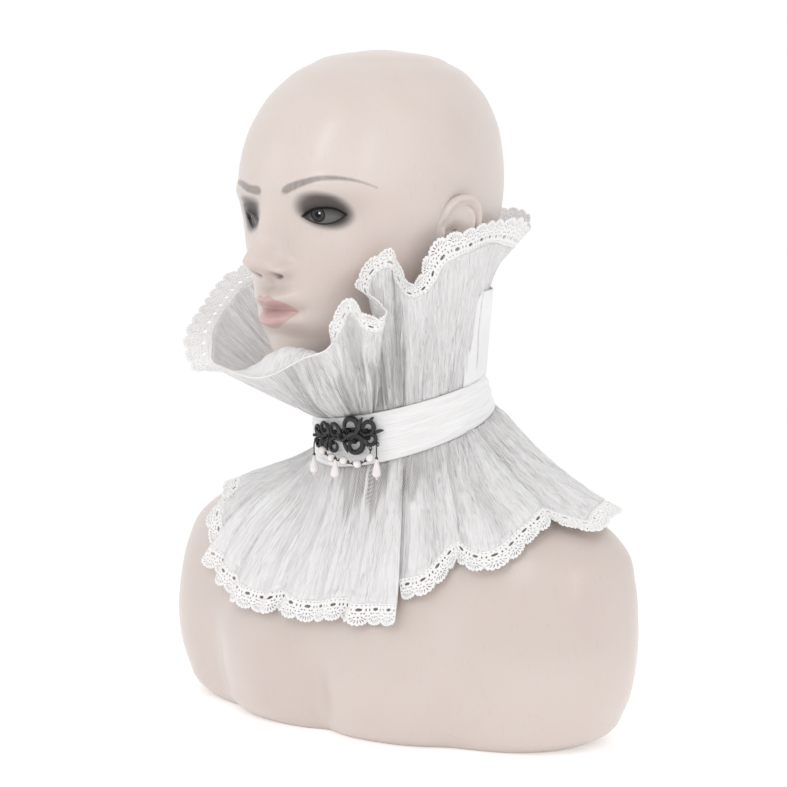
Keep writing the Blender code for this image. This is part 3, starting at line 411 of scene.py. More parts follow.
class Nodes:
    """Short names for building one node material."""

    def __init__(self, name):
        self.material = bpy.data.materials.new(name)
        self.material.use_nodes = True
        self.tree = self.material.node_tree
        self.shader = self.tree.nodes["Principled BSDF"]
        self.out = self.tree.nodes["Material Output"]

    def add(self, kind, **values):
        """New node with its settings and input values."""
        node = self.tree.nodes.new(kind)
        for key, value in values.items():
            if key in node.inputs:
                node.inputs[key].default_value = value
            else:
                setattr(node, key, value)
        return node

    def link(self, source, target):
        """Join two sockets."""
        self.tree.links.new(source, target)

    def math(self, operation, a, b=0.0):
        """One math node from sockets or numbers."""
        node = self.tree.nodes.new("ShaderNodeMath")
        node.operation = operation
        for slot, value in zip(node.inputs, (a, b)):
            if isinstance(value, (int, float)):
                slot.default_value = value
            else:
                self.link(value, slot)
        return node.outputs[0]

    def ramp(self, value, stops):
        """Colour ramp over a value."""
        node = self.tree.nodes.new("ShaderNodeValToRGB")
        points = node.color_ramp.elements
        while len(points) < len(stops):
            points.new(0.5)
        for point, (place, colour) in zip(points, stops):
            point.position = place
            point.color = (*colour, 1.0)
        self.link(value, node.inputs[0])
        return node.outputs[0]

    def mix(self, factor, a, b):
        """Mix of two colours."""
        node = self.tree.nodes.new("ShaderNodeMix")
        node.data_type = "RGBA"
        for slot, value in ((node.inputs[0], factor), (node.inputs[6], a), (node.inputs[7], b)):
            if isinstance(value, (int, float)):
                slot.default_value = value
            elif isinstance(value, tuple):
                slot.default_value = (*value, 1.0)
            else:
                self.link(value, slot)
        return node.outputs[2]

    def step(self, value, low, high):
        """0 below low, 1 over high."""
        node = self.tree.nodes.new("ShaderNodeMapRange")
        self.link(value, node.inputs["Value"])
        node.inputs["From Min"].default_value = low
        node.inputs["From Max"].default_value = high
        return node.outputs["Result"]

    def times(self, a, b):
        """Product of two sockets or numbers."""
        return self.math("MULTIPLY", a, b)

    def split(self, vector):
        """The three numbers of a vector."""
        node = self.add("ShaderNodeSeparateXYZ")
        self.link(vector, node.inputs[0])
        return node.outputs[:3]

    def blend(self, factor, other):
        """Surface mixed with another shader."""
        node = self.add("ShaderNodeMixShader")
        if isinstance(factor, float):
            node.inputs[0].default_value = factor
        else:
            self.link(factor, node.inputs[0])
        self.link(self.shader.outputs[0], node.inputs[1])
        self.link(other.outputs[0], node.inputs[2])
        self.link(node.outputs[0], self.out.inputs["Surface"])

    def finish(self, colour, roughness, normal=None, **values):
        """Colour, roughness, relief and other inputs of the surface."""
        self.link(colour, self.shader.inputs["Base Color"])
        if normal is not None:
            self.link(normal, self.shader.inputs["Normal"])
        for label, value in dict(values, Roughness=roughness).items():
            self.shader.inputs[label.replace("_", " ")].default_value = value
        return self.material

    def fields(self, label):
        """The three numbers of a vector attribute."""
        return self.split(self.add("ShaderNodeAttribute", attribute_name=label).outputs["Vector"])

    def noise(self, vector, scale, detail=3.0, stretch=(1, 1, 1)):
        """Noise over a stretched coordinate."""
        place = self.add("ShaderNodeMapping")
        place.inputs["Scale"].default_value = stretch
        self.link(vector, place.inputs["Vector"])
        node = self.add("ShaderNodeTexNoise", Scale=scale, Detail=detail)
        self.link(place.outputs[0], node.inputs["Vector"])
        return node.outputs["Fac"]

    def bump(self, height, strength, distance, below=None):
        """Bump node over a height, stacked on another bump."""
        node = self.add("ShaderNodeBump", Strength=strength, Distance=distance)
        self.link(height, node.inputs["Height"])
        if below is not None:
            self.link(below, node.inputs["Normal"])
        return node.outputs[0]


def cloth_material(name, roughness, gloss):
    """White crinkled cloth: pleats along its fall, weave, net in the deep gathers painted grey with dark
    holes as painted shade, painted shade in the creases, stitched hem.
    """
    n = Nodes(name)
    uv = n.add("ShaderNodeUVMap").outputs[0]
    along, down, _ = n.split(uv)
    creases = n.noise(uv, 1.0, 4.0, (0.55, 0.035, 1))
    fine = n.noise(uv, 1.0, 3.0, (1.7, 0.12, 1))
    weave = n.times(n.math("SINE", n.times(along, 9.0)), n.math("SINE", n.times(down, 9.0)))
    stitch_a, stitch_b = (
        n.math("LESS_THAN", n.math("ABSOLUTE", n.math("SUBTRACT", down, row)), 0.28) for row in (1.1, 4.2))
    dash = n.math("GREATER_THAN", n.math("SINE", n.times(along, 2.6)), -0.35)
    stitches = n.times(n.math("ADD", stitch_a, stitch_b), dash)
    # net in the deep gathers: its grey tint and dark holes are painted shade
    net_in_shade = n.add("ShaderNodeAttribute", attribute_name="net_in_shade").outputs["Fac"]
    lean = n.times(n.math("ADD", along, n.times(down, 0.6)), 1.9)
    cross = n.times(n.math("SUBTRACT", along, n.times(down, 0.6)), 1.9)
    mesh = n.times(n.math("SINE", lean), n.math("SINE", cross))
    holes = n.times(n.step(n.math("ABSOLUTE", mesh), 0.18, 0.42), net_in_shade)
    # painted shade: the cloth is painted darker where the crease relief dips
    shade = n.ramp(creases, ((0.30, (0.88, 0.865, 0.865)), (0.60, (0.965, 0.955, 0.955))))
    # painted shade: grey over the net, then near-black where the shade shows through its holes
    tint = n.mix(n.times(net_in_shade, 0.35), shade, (0.80, 0.78, 0.775))
    tint = n.mix(n.times(holes, 0.8), tint, (0.36, 0.335, 0.325))
    first = n.bump(creases, 0.9, 0.0032)
    second = n.bump(fine, 0.55, 0.0010, first)
    third = n.bump(weave, 0.06, 0.0002, second)
    n.blend(0.15, n.add("ShaderNodeBsdfTranslucent", Color=(0.98, 0.975, 0.975, 1.0)))
    return n.finish(tint, roughness, n.bump(stitches, 0.5, 0.0003, third),
                    Specular_IOR_Level=gloss, Sheen_Weight=0.25, Sheen_Roughness=0.4)


def lace_material():
    """Matt cotton lace with thread relief, painted darker as shade where the relief dips."""
    n = Nodes("lace_thread")
    uv = n.add("ShaderNodeUVMap").outputs[0]
    threads = n.add("ShaderNodeTexVoronoi", Scale=1.5)
    n.link(uv, threads.inputs["Vector"])
    twist = n.noise(uv, 2.4, 3.0, (1, 1, 1))
    # painted shade: the lace is darker where the thread relief dips
    shade = n.ramp(twist, ((0.3, (0.80, 0.79, 0.785)), (0.65, (0.91, 0.905, 0.90))))
    first = n.bump(threads.outputs["Distance"], 0.6, 0.0004)
    return n.finish(shade, 0.8, n.bump(twist, 0.4, 0.0004, first), Specular_IOR_Level=0.25)


def band_material():
    """White crinkled strip with its folds running round the neck, and painted shade in its creases."""
    n = Nodes("band_crinkle")
    uv = n.add("ShaderNodeUVMap").outputs[0]
    creases = n.noise(uv, 1.0, 4.0, (0.03, 0.6, 1))
    fine = n.noise(uv, 1.0, 3.0, (0.15, 2.0, 1))
    # painted shade: the band is darker where the crease relief dips
    shade = n.ramp(creases, ((0.3, (0.775, 0.765, 0.765)), (0.62, (0.875, 0.865, 0.865))))
    relief = n.bump(fine, 0.35, 0.0004, n.bump(creases, 0.6, 0.001))
    return n.finish(shade, 0.6, relief, Specular_IOR_Level=0.35, Sheen_Weight=0.25)


def tape_material():
    """Smooth stiffened tape with a fine even weave."""
    n = Nodes("stay_tape")
    place = n.add("ShaderNodeTexCoord").outputs["Object"]
    weave = n.noise(place, 900.0, 2.0, (1, 1, 1))
    wide = n.noise(place, 40.0, 2.0, (1, 1, 1))
    shade = n.ramp(wide, ((0.3, (0.78, 0.775, 0.78)), (0.7, (0.85, 0.845, 0.85))))
    return n.finish(shade, 0.7, n.bump(weave, 0.25, 0.0002))


def skin_material():
    """Satin sprayed bust: pale warm coat with painted eyes, brows and lips, painted shade low down, under
    the upper lids, in the nostrils, the mouth's line and the ears' bowls, and a painted glint in each eye.
    """
    n = Nodes("bust_coat")
    place = n.add("ShaderNodeTexCoord").outputs["Object"]
    cloud = n.noise(place, 9.0, 3.0, (1, 1, 1))
    grain = n.noise(place, 700.0, 2.0, (1, 1, 1))
    hairs = n.noise(place, 420.0, 2.0, (1.0, 1.0, 0.35))
    colour = n.ramp(cloud, ((0.35, (0.605, 0.520, 0.480)), (0.65, (0.665, 0.585, 0.545))))
    lid_top, lid_low, iris = n.fields("eye_lines")
    lip, mouth, brow = n.fields("face_lines")
    # eye shadow and blush make-up, and painted shade in the nostrils and the ears' bowls
    shadow, blush, nostril_shade = n.fields("make_up_and_shade")
    zone, painted_glint, _ = n.fields("eye_spots")
    height = n.split(place)[2]
    # painted shade: the bust is darker towards its lower part
    painted_low_shade = n.times(n.step(height, 0.20, 0.08), 0.35)
    colour = n.mix(painted_low_shade, colour, (0.49, 0.415, 0.38))
    # blush make-up on the face; on the ears this channel carries painted shade in the bowl
    colour = n.mix(n.times(blush, 0.4), colour, (0.60, 0.415, 0.355))
    smoke = n.mix(n.step(lid_top, -6.0, -0.5), (0.085, 0.077, 0.073), (0.022, 0.020, 0.020))
    colour = n.mix(shadow, colour, smoke)
    brow_edge = n.math("ADD", n.step(brow, -0.9, 0.7), n.times(n.math("SUBTRACT", hairs, 0.5), 0.5))
    colour = n.mix(n.times(n.step(brow_edge, 0.05, 1.1), 0.72), colour, (0.125, 0.11, 0.105))
    open_eye = n.times(n.step(lid_top, -0.1, 0.3), n.step(lid_low, -0.1, 0.3))
    open_eye = n.times(open_eye, n.step(zone, 0.0, 0.6))
    # painted shade of the upper lid on the eyeball: darker near the lid
    shade = n.step(lid_top, 5.5, 0.5)
    ball = n.mix(n.times(shade, 0.75), (0.15, 0.142, 0.14), (0.014, 0.013, 0.013))
    rays = n.noise(place, 260.0, 4.0, (1, 1, 1))
    ring = n.mix(rays, (0.012, 0.012, 0.013), (0.085, 0.085, 0.087))
    ball = n.mix(n.step(iris, 4.9, 4.4), ball, (0.012, 0.012, 0.012))
    ball = n.mix(n.step(iris, 4.1, 3.5), ball, ring)
    ball = n.mix(n.step(iris, 2.1, 1.7), ball, (0.006, 0.006, 0.006))
    # painted highlight: a white glint on the iris
    ball = n.mix(n.step(painted_glint, 0.9, 0.5), ball, (0.80, 0.80, 0.80))
    colour = n.mix(open_eye, colour, ball)
    line = n.step(n.math("ABSOLUTE", n.math("ADD", lid_top, 0.3)), 1.15, 0.5)
    low_line = n.times(n.step(n.math("ABSOLUTE", n.math("ADD", lid_low, 0.2)), 0.8, 0.2), 0.8)
    lashes = n.times(n.math("MAXIMUM", line, low_line), n.step(zone, -1.5, -0.3))
    colour = n.mix(lashes, colour, (0.012, 0.011, 0.011))
    fine = n.noise(place, 220.0, 3.0, (1.0, 1.0, 0.5))
    lips = n.mix(fine, (0.50, 0.325, 0.308), (0.575, 0.395, 0.378))
    colour = n.mix(n.step(lip, -0.45, 0.35), colour, lips)
    # painted shade in the line of the mouth
    seam = n.times(n.step(n.math("ABSOLUTE", mouth), 1.1, 0.0), n.step(lip, 0.3, 2.0))
    colour = n.mix(n.times(seam, 0.5), colour, (0.25, 0.11, 0.105))
    # painted shade in the nostrils and under the nose
    colour = n.mix(n.times(nostril_shade, 0.85), colour, (0.16, 0.095, 0.085))
    n.link(n.times(n.step(shadow, 1.0, 0.0), 0.3), n.shader.inputs["Coat Weight"])
    n.link(n.times(n.step(shadow, 1.2, 0.0), 0.5), n.shader.inputs["Specular IOR Level"])
    return n.finish(colour, 0.36, n.bump(grain, 0.05, 0.0002),
                    Coat_Roughness=0.22, Subsurface_Weight=0.06)


def metal_material():
    """Dark antiqued casting, bright on its edges as wear and painted highlight."""
    n = Nodes("antique_metal")
    place = n.add("ShaderNodeTexCoord").outputs["Object"]
    cast = n.noise(place, 600.0, 3.0, (1, 1, 1))
    edge_wear_and_highlight = n.add("ShaderNodeNewGeometry").outputs["Pointiness"]
    # raised edges brighter as wear and painted highlight
    shade = n.ramp(edge_wear_and_highlight, ((0.49, (0.010, 0.010, 0.011)), (0.62, (0.085, 0.085, 0.09))))
    dusty = n.mix(n.times(cast, 0.2), shade, (0.05, 0.05, 0.052))
    return n.finish(dusty, 0.32, n.bump(cast, 0.35, 0.0003), Metallic=0.7, Specular_IOR_Level=0.35)


def pearl_material():
    """Cream pearl coat, with painted rosy shade towards its rims."""
    n = Nodes("pearl_coat")
    place = n.add("ShaderNodeTexCoord").outputs["Object"]
    cloud = n.noise(place, 160.0, 2.0, (1, 1, 1))
    rim = n.add("ShaderNodeLayerWeight", Blend=0.35).outputs["Facing"]
    body = n.ramp(cloud, ((0.3, (0.76, 0.715, 0.70)), (0.7, (0.87, 0.84, 0.83))))
    # painted shade: darker rosy rims where the surface turns from view
    tint = n.mix(n.step(rim, 0.25, 0.95), body, (0.42, 0.33, 0.31))
    return n.finish(tint, 0.18, Coat_Weight=1.0, Coat_Roughness=0.05, Sheen_Weight=0.2)


def floor_material():
    """Plain pale floor that fades into the white round it."""
    n = Nodes("studio_floor")
    place = n.add("ShaderNodeTexCoord").outputs["Object"]
    reach = n.add("ShaderNodeVectorMath", operation="LENGTH")
    n.link(place, reach.inputs[0])
    speckle = n.noise(place, 30.0, 2.0, (1, 1, 1))
    shade = n.ramp(speckle, ((0.3, (0.90, 0.90, 0.90)), (0.7, (0.93, 0.93, 0.93))))
    share = n.math("DIVIDE", reach.outputs["Value"], FLOOR_RADIUS)
    edge = n.ramp(share, ((0.25, (0, 0, 0)), (0.75, (1, 1, 1))))
    n.blend(edge, n.add("ShaderNodeBsdfTransparent"))
    return n.finish(shade, 0.9, Emission_Color=(1, 1, 1, 1), Emission_Strength=0.30)


CLOTHS = {
    "crinkle": cloth_material("white_crinkle", 0.58, 0.4),
    "satin": cloth_material("white_crinkle_satin", 0.33, 0.75),
}
LACE = lace_material()
BAND = band_material()
TAPE = tape_material()
SKIN = skin_material()
METAL = metal_material()
PEARL = pearl_material()


# ---- the display bust

BUST_TABLE = np.array(BUST_SECTIONS, float)


def bust_ring(height, turns):
    """Ring of points on the bust's skin, and their angles on the head."""
    section = curve_through(BUST_TABLE[:, 0], BUST_TABLE[:, 1:], np.array([height]))[0]
    centre, half, front, back, square, yaw = section
    power = 2.0 / square
    side = np.sign(np.sin(turns)) * np.abs(np.sin(turns)) ** power
    ahead = np.sign(np.cos(turns)) * np.abs(np.cos(turns)) ** power
    x = half * side
    y = -np.where(ahead > 0, front, back) * ahead
    angle = np.degrees(np.arctan2(x, -y))
    push = np.zeros_like(x)
    for at, level, spread, tall, amount in BUST_FORMS:
        away = (angle - at + 180) % 360 - 180
        push += amount * spot(away, height - level, spread, tall)
    if abs(height - EYE["z"]) < 18:
        push += eye_relief(angle, height)
    scale = 1.0 + push / np.hypot(x, y)
    x, y = x * scale, y * scale
    turn = -math.radians(yaw)
    x, y = turned(x, y, turn)
    return np.stack([x, centre + y, np.full_like(x, height)], axis=1), angle


def bust_reach_row(height):
    """Distance from the collar's axis to the bust's skin in every whole direction."""
    ring, _ = bust_ring(height, np.linspace(-math.pi, math.pi, 145)[:-1])
    turn, reach = round_axis(ring)
    across = np.degrees(turn)
    order = np.argsort(across)
    return np.interp(np.arange(-180, 181), across[order], reach[order], period=360)


REACH_STEP = 3.0         # height between two rows of the table
REACH_ROWS = 82
REACH = np.array([bust_reach_row(REACH_STEP * k) for k in range(REACH_ROWS)])


def bust_radius(angle, height):
    """Distance from the collar's axis to the bust's skin below the chin."""
    level = np.clip(height / REACH_STEP, 0.0, len(REACH) - 1.001)
    row = level.astype(int)
    share = level - row
    across = (angle + 180) % 360
    column = np.minimum(across.astype(int), 359)
    turn = across - column
    low = REACH[row, column] * (1 - turn) + REACH[row, column + 1] * turn
    high = REACH[row + 1, column] * (1 - turn) + REACH[row + 1, column + 1] * turn
    return low * (1 - share) + high * share


def eye_place(angle, height):
    """Place across and over the nearer eye, degrees off the middle, and height as on the near side."""
    mm = math.radians(1.0) * SKIN_RADIUS
    level = height + FAR_DROP * smooth_step(-2.0, -14.0, angle)
    u = np.where(angle > 0, angle - EYE["left"], -angle - EYE["right"]) * mm
    side = np.where(angle > 0, angle, -angle + 2.0)
    return u, level - EYE["z"], side, level


def lid_distances(u, v):
    """Distances inside the upper and the lower lid."""
    t = np.clip(u / EYE["half"], -1, 1)
    tilt = EYE["tilt"] * t
    return EYE["top"] * (1 - np.abs(t) ** 2.4) + tilt - v, v + EYE["bottom"] * (1 - np.abs(t) ** 2.0) - tilt


def face_lines(angle, height):
    """Distances in millimetres to the painted edges of the face and the eyes' painted glints, the soft
    make-up, and painted shade in the nostrils and under the nose.
    """
    u, v, side, level = eye_place(angle, height)
    mm = math.radians(1.0) * SKIN_RADIUS
    lid_top, lid_low = lid_distances(u, v)
    eye_zone = EYE["half"] - np.abs(u)
    iris_u = u - np.where(angle > 0, IRIS["left"], IRIS["right"])
    iris = np.hypot(iris_u, level - IRIS["z"])
    # distance to the painted highlight on the iris
    painted_glint = np.hypot(iris_u * np.sign(angle) - IRIS["painted_glint"][0], level - IRIS["painted_glint"][1])
    rows = np.array(BROW)
    middle = curve_through(rows[:, 0], rows[:, 1], side)
    thick = np.interp(side, rows[:, 0], rows[:, 2])
    brow = (thick - np.abs(level - middle)) * smooth_step(4.5, 9.5, side) - 1.2 * smooth_step(9.5, 4.5, side)
    brow = np.where((side < rows[0, 0]) | (side > rows[-1, 0]), -FAR_OFF, brow)
    t = np.clip(np.abs(angle - LIPS["middle"]) / LIPS["half"], 0, 1.3)
    line = LIPS["line"] + 1.2 * t**2 - 1.6 * t**4
    bow = LIPS["dip"] + (LIPS["bow"] - LIPS["dip"]) * np.exp(-((t - 0.22) / 0.14) ** 2)
    top = line + (bow - LIPS["line"]) * (1 - t**2.0)
    low = line - (LIPS["line"] - LIPS["bottom"]) * (1 - t**2.2)
    lip = np.minimum(top - height, height - low)
    lip = np.where(t < 1.1, lip, -FAR_OFF)
    mouth = np.where(t < 1.0, height - line, FAR_OFF)
    oval = 1 - ((u - 0.5) / 19.0) ** 2 - ((v - 3.4 + 0.14 * u) / 11.8) ** 2
    shadow = 0.95 * smooth_step(-0.35, 0.62, oval)
    shadow = np.maximum(shadow, 0.28 * spot(u - 5, v - 5.0, 18.0, 10.0))
    blush = 0.8 * spot(side - 52, height - 304, 20, 15) + 0.6 * spot(side - 42, height - 349, 10, 9)
    # painted shade in the nostrils and under the nose
    nostril_shade = spot(np.abs(angle + 2.2) - 5.4, height - 300.8, 2.3, 1.7)
    under = np.exp(-((angle + 2.5) / 9.0) ** 4 - ((height - 299.0) / 2.6) ** 2)
    nostril_shade = np.maximum(nostril_shade, 0.12 * under)
    away = (height < 242) | (side > 100)
    sets = []
    for values, empty in (((lid_top, lid_low, iris), -FAR_OFF), ((lip, mouth, brow), -FAR_OFF),
                          ((shadow, blush, nostril_shade), 0.0), ((eye_zone, painted_glint, 0 * u), -FAR_OFF)):
        sets.append(np.stack([np.where(away, empty, value) for value in values], axis=-1).reshape(-1, 3))
    return dict(zip(("eye_lines", "face_lines", "make_up_and_shade", "eye_spots"), sets))


def eye_relief(angle, height):
    """Push of the eyeball's opening and the lid margins."""
    u, v, _, _ = eye_place(angle, height)
    top, low = lid_distances(u, v)
    inside = smooth_step(-0.5, 0.9, np.minimum(top, low)) * (np.abs(u) < EYE["half"])
    ball = 2.2 * spot(u + 1.0, v - 1.0, 10.0, 8.5)
    margin = np.exp(-((top + 0.9) / 1.1) ** 2) * smooth_step(EYE["half"] + 2, EYE["half"] - 3, np.abs(u))
    return ball - 1.8 * inside + 0.9 * margin


def make_bust():
    """Head, neck and shoulders on a flat base, with a painted face."""
    even = 2 * math.pi * np.arange(BUST_COLUMNS) / BUST_COLUMNS
    turns = even - FACE_DENSITY * np.sin(even)
    heights = np.concatenate([
        np.linspace(0, 8, 5)[:-1],
        np.linspace(8, 236, 52)[:-1],
        np.linspace(236, 260, 18)[:-1],
        np.linspace(260, 330, 84)[:-1],
        np.linspace(330, 366, 60)[:-1],
        np.linspace(366, 425, 22)[:-1],
        np.linspace(425, 443.5, 12),
    ])
    rings, angles = zip(*(bust_ring(h, turns) for h in heights))
    points = np.concatenate(rings)
    angles = np.array(angles)
    levels = np.repeat(heights[:, None], BUST_COLUMNS, axis=1)
    count = BUST_COLUMNS
    rows = np.arange(len(heights) - 1)[:, None] * count
    i = np.arange(count)[None, :]
    j = (i + 1) % count
    faces = np.stack([rows + i, rows + j, rows + count + j, rows + count + i], axis=-1).reshape(-1, 4)
    faces = [tuple(f) for f in faces] + [tuple(range(count))[::-1]]
    top = (len(heights) - 1) * count
    faces.append(tuple(range(top, top + count)))
    bust = new_piece("bust_form", points, faces, SKIN, marks=face_lines(angles, levels))
    finish_piece(bust, "root", "display_bust")


# Ear: centre angle and height on the head, half width and height, how far its back edge stands off
HEAD_ROW = 19            # the bust section that the ears are mirrored over
HEAD_RADIUS = 78.0       # radius of the head at the ears
EAR_WALL = 2.6
EAR = dict(angle=91.0, z=328.0, half=10.0, tall=23.0, stand=7.5, lean=0.20)


def plain_lines(count, warm_shade):
    """Marks of a piece without painted lines, with some warm painted shade."""
    far = np.full((count, 3), -FAR_OFF)
    soft = np.zeros((count, 3))
    soft[:, 1] = warm_shade
    return dict(eye_lines=far, face_lines=far, make_up_and_shade=soft, eye_spots=far)


def make_ear(name, hand):
    """Ear as a curved shell with its rim, inner fold and bowl."""
    around = np.linspace(0, 2 * math.pi, 73)[:-1]
    out = np.linspace(0.04, 1.0, 22)
    turn, reach = cross_grid(around, out)
    across = reach * np.cos(turn)                # -1 towards the face, +1 towards the back
    up = reach * np.sin(turn)
    egg = 1.0 + 0.16 * up - 0.10 * (up < 0) * up**2
    local_x = across * EAR["half"] * egg + EAR["lean"] * up * EAR["half"]
    local_z = up * EAR["tall"]
    backward = smooth_step(-1.0, 0.9, across)
    lift = 1.0 + EAR["stand"] * backward
    rim = spot(reach - 0.90, 0, 0.075, 1) * smooth_step(-0.75, -0.35, across + 0.9 * np.maximum(up, 0))
    fold = spot(reach - 0.60, 0, 0.09, 1) * smooth_step(-0.15, 0.35, across)
    fold = fold * smooth_step(-0.8, -0.4, up)
    bowl = spot(across + 0.12, up + 0.12, 0.34, 0.34)
    flap = spot(across + 0.72, up + 0.12, 0.14, 0.17)
    groove = spot(reach - 0.76, 0, 0.06, 1) * backward
    lift += 3.4 * rim + 2.2 * fold - 5.0 * bowl + 2.6 * flap - 1.6 * groove
    lift *= 1 - 0.35 * smooth_step(-0.55, -1.0, up)
    base = []
    for x, z in zip(local_x.ravel(), local_z.ravel()):
        angle = EAR["angle"] + math.degrees(x / HEAD_RADIUS)
        ring, _ = bust_ring(EAR["z"] + z, np.radians(np.array([angle])))
        base.append(ring[0])
    base = np.array(base).reshape(local_x.shape + (3,))
    side = np.array((1.0, 0.10, 0.0))
    outer = base + side * lift[..., None]
    sink = np.minimum(lift - EAR_WALL, 0.35 * lift)
    inner = base + side * sink[..., None] - side * 2.5 * (1 - backward)[..., None]
    if hand < 0:
        yaw = math.radians(BUST_TABLE[HEAD_ROW, 6])
        centre = BUST_TABLE[HEAD_ROW, 1]
        for grid in (outer, inner):
            x, y = turned(grid[..., 0], grid[..., 1] - centre, yaw)
            x, y = turned(-x, y, -yaw)
            grid[..., 0] = x
            grid[..., 1] = centre + y
    columns, rows = outer.shape[:2]
    points = np.concatenate([outer.reshape(-1, 3), inner.reshape(-1, 3)])
    # painted shade: the ear's bowl is tinted warm and darker as it deepens
    bowl_shade = np.tile(0.9 * bowl.ravel(), 2)
    faces = [tuple(f) for f in wall_faces(columns, rows, closed=True)]
    ear = new_piece(name, points, faces, SKIN, marks=plain_lines(len(points), bowl_shade))
    finish_piece(ear, "root", None)


# ---- the collar's cloth

def ring_height(ring, x, y):
    """Height of a band edge over a place."""
    return ring["z"] + ring["rise_x"] * x + ring["rise_y"] * (y - ring["y"])


def ring_points(ring, turn, inset=0.0):
    """Points on a band edge, or inside it."""
    radius = ring["radius"] - inset
    x = radius * np.sin(turn)
    y = ring["y"] - radius * np.cos(turn)
    return np.stack([x, y, ring_height(ring, x, y)], axis=-1)


def band_points(angle, share, push=0.0):
    """Points on the band's outer face: share 0 is its top edge, 1 its bottom edge."""
    turn = np.radians(np.asarray(angle, float))
    ends = [ring_points(ring, turn) for ring in (BAND_TOP, BAND_BOTTOM)]
    share = np.asarray(share, float)[..., None]
    point = ends[0] * (1 - share) + ends[1] * share
    along = np.stack([np.cos(turn), np.sin(turn), 0 * turn], axis=-1)
    normal = unit(np.cross(ends[1] - ends[0], along))
    outward = np.stack([np.sin(turn), -np.cos(turn), 0 * turn], axis=-1)
    normal = normal * np.sign((normal * outward).sum(axis=-1, keepdims=True))
    return point + normal * np.asarray(push, float)[..., None]


def make_band():
    """Crinkled strip round the neck."""
    angle, share = cross_grid(np.linspace(-BAND_OPENING, BAND_OPENING, 420), np.linspace(0, 1, 34))
    length = np.radians(angle) * BAND_RADIUS
    drift = 0.10 * smooth_noise(71, length / 45) + 0.05 * smooth_noise(72, length / 17)
    place = share + drift
    folds = 1 - 2 * np.abs(smooth_noise(73, place * 7.3 + 40))
    small = smooth_noise(74, place * 17 + smooth_noise(75, length / 22) * 0.8 + 90)
    push = 0.55 * folds + 0.28 * small + 0.35
    push *= np.sin(np.pi * np.clip(share, 0.02, 0.98)) ** 0.35
    grid = band_points(angle, share)
    edge = band_points(angle, share, -1.0)
    normal = grid - edge
    uv = np.stack([length, share * BAND_HEIGHT], axis=-1)
    band = wall_piece("band_cloth", grid, normal, push, BAND_WALL, BAND, uv)
    finish_piece(band, "root", "neck_band")


def even_stations(stations, edge, count):
    """Stations that share an edge line out evenly, and its length at each."""
    fine = np.linspace(stations[0], stations[-1], 4000)
    line = curve_through(stations, edge, fine)
    length = np.concatenate([[0], np.cumsum(np.linalg.norm(np.diff(line, axis=0), axis=1))])
    along = np.linspace(0, length[-1], count)
    return np.interp(along, length, fine), along


def pleats(along, share, seed, amount, hem):
    """Height of the pleats: ridges that run from band to hem and fade into the sewn hem."""
    drift = 3.0 * smooth_noise(seed + 1, share * 2.2 + along / 55)
    drift = (drift + 1.6 * smooth_noise(seed + 6, share * 5.0 + along / 19)) * share
    soft = smooth_noise(seed + 7, (along + 2.0 * drift) / 21) * smooth_step(0.1, 0.9, share)
    wide = 1 - 2.2 * np.abs(smooth_noise(seed + 2, (along + drift * 1.6) / 9.5))
    narrow = 1 - 2.0 * np.abs(smooth_noise(seed + 3, (along + drift) / 5.2))
    fine = smooth_noise(seed + 4, (along + 0.6 * drift) / 3.2)
    weight = 0.7 + 0.6 * smooth_noise(seed + 5, along / 14 + share * 2.2)
    calm = (0.25 + 0.75 * smooth_step(0.0, 0.06, share)) * (1.15 - 0.25 * smooth_step(0.1, 0.9, share))
    height = weight * (1.0 * wide + 0.55 * narrow) + 0.2 * fine + 0.9 * soft
    return amount * height * calm * (1 - 0.78 * hem)


RUFFLE_TABLE = np.array(RUFFLE_FOLDS, float)
RUFFLE_STATIONS = np.arange(len(RUFFLE_FOLDS), dtype=float)
RUFFLE_EDGE = polar(RUFFLE_TABLE[:, 1], RUFFLE_TABLE[:, 2], RUFFLE_TABLE[:, 3])
RUFFLE_TIP = polar(RUFFLE_TABLE[:, 6], RUFFLE_TABLE[:, 7], RUFFLE_TABLE[:, 8])


def ruffle_grid(stations, shares):
    """Points from the band to the cloth edge at stations of the fold table."""
    angle, flare, roll = (curve_through(RUFFLE_STATIONS, RUFFLE_TABLE[:, c], stations) for c in (0, 4, 5))
    edge = curve_through(RUFFLE_STATIONS, RUFFLE_EDGE, stations)
    roll = np.maximum(roll, 0.0)[:, None]
    inset = 1.0 + 1.4 * np.clip((flare - 2.0) / 2.0, 0.0, 1.0)
    foot = ring_points(BAND_TOP, np.radians(angle), inset)
    foot[:, 2] += RUFFLE_LIFT
    spread = shares[None, :] ** flare[:, None]
    level = shares[None, :] + 0.0 * spread
    reach = np.stack([spread, spread, level], axis=-1)
    grid = foot[:, None] + (edge - foot)[:, None] * reach
    grid[..., 2] += roll * 9.5 * level**3 * (1.0 - level)
    return grid, angle


def fall_length(grid):
    """Distance of each grid point from the free edge, along its column."""
    step = np.linalg.norm(np.diff(grid, axis=1), axis=2)
    total = np.concatenate([np.zeros((len(grid), 1)), np.cumsum(step, axis=1)], axis=1)
    return total[:, -1:] - total


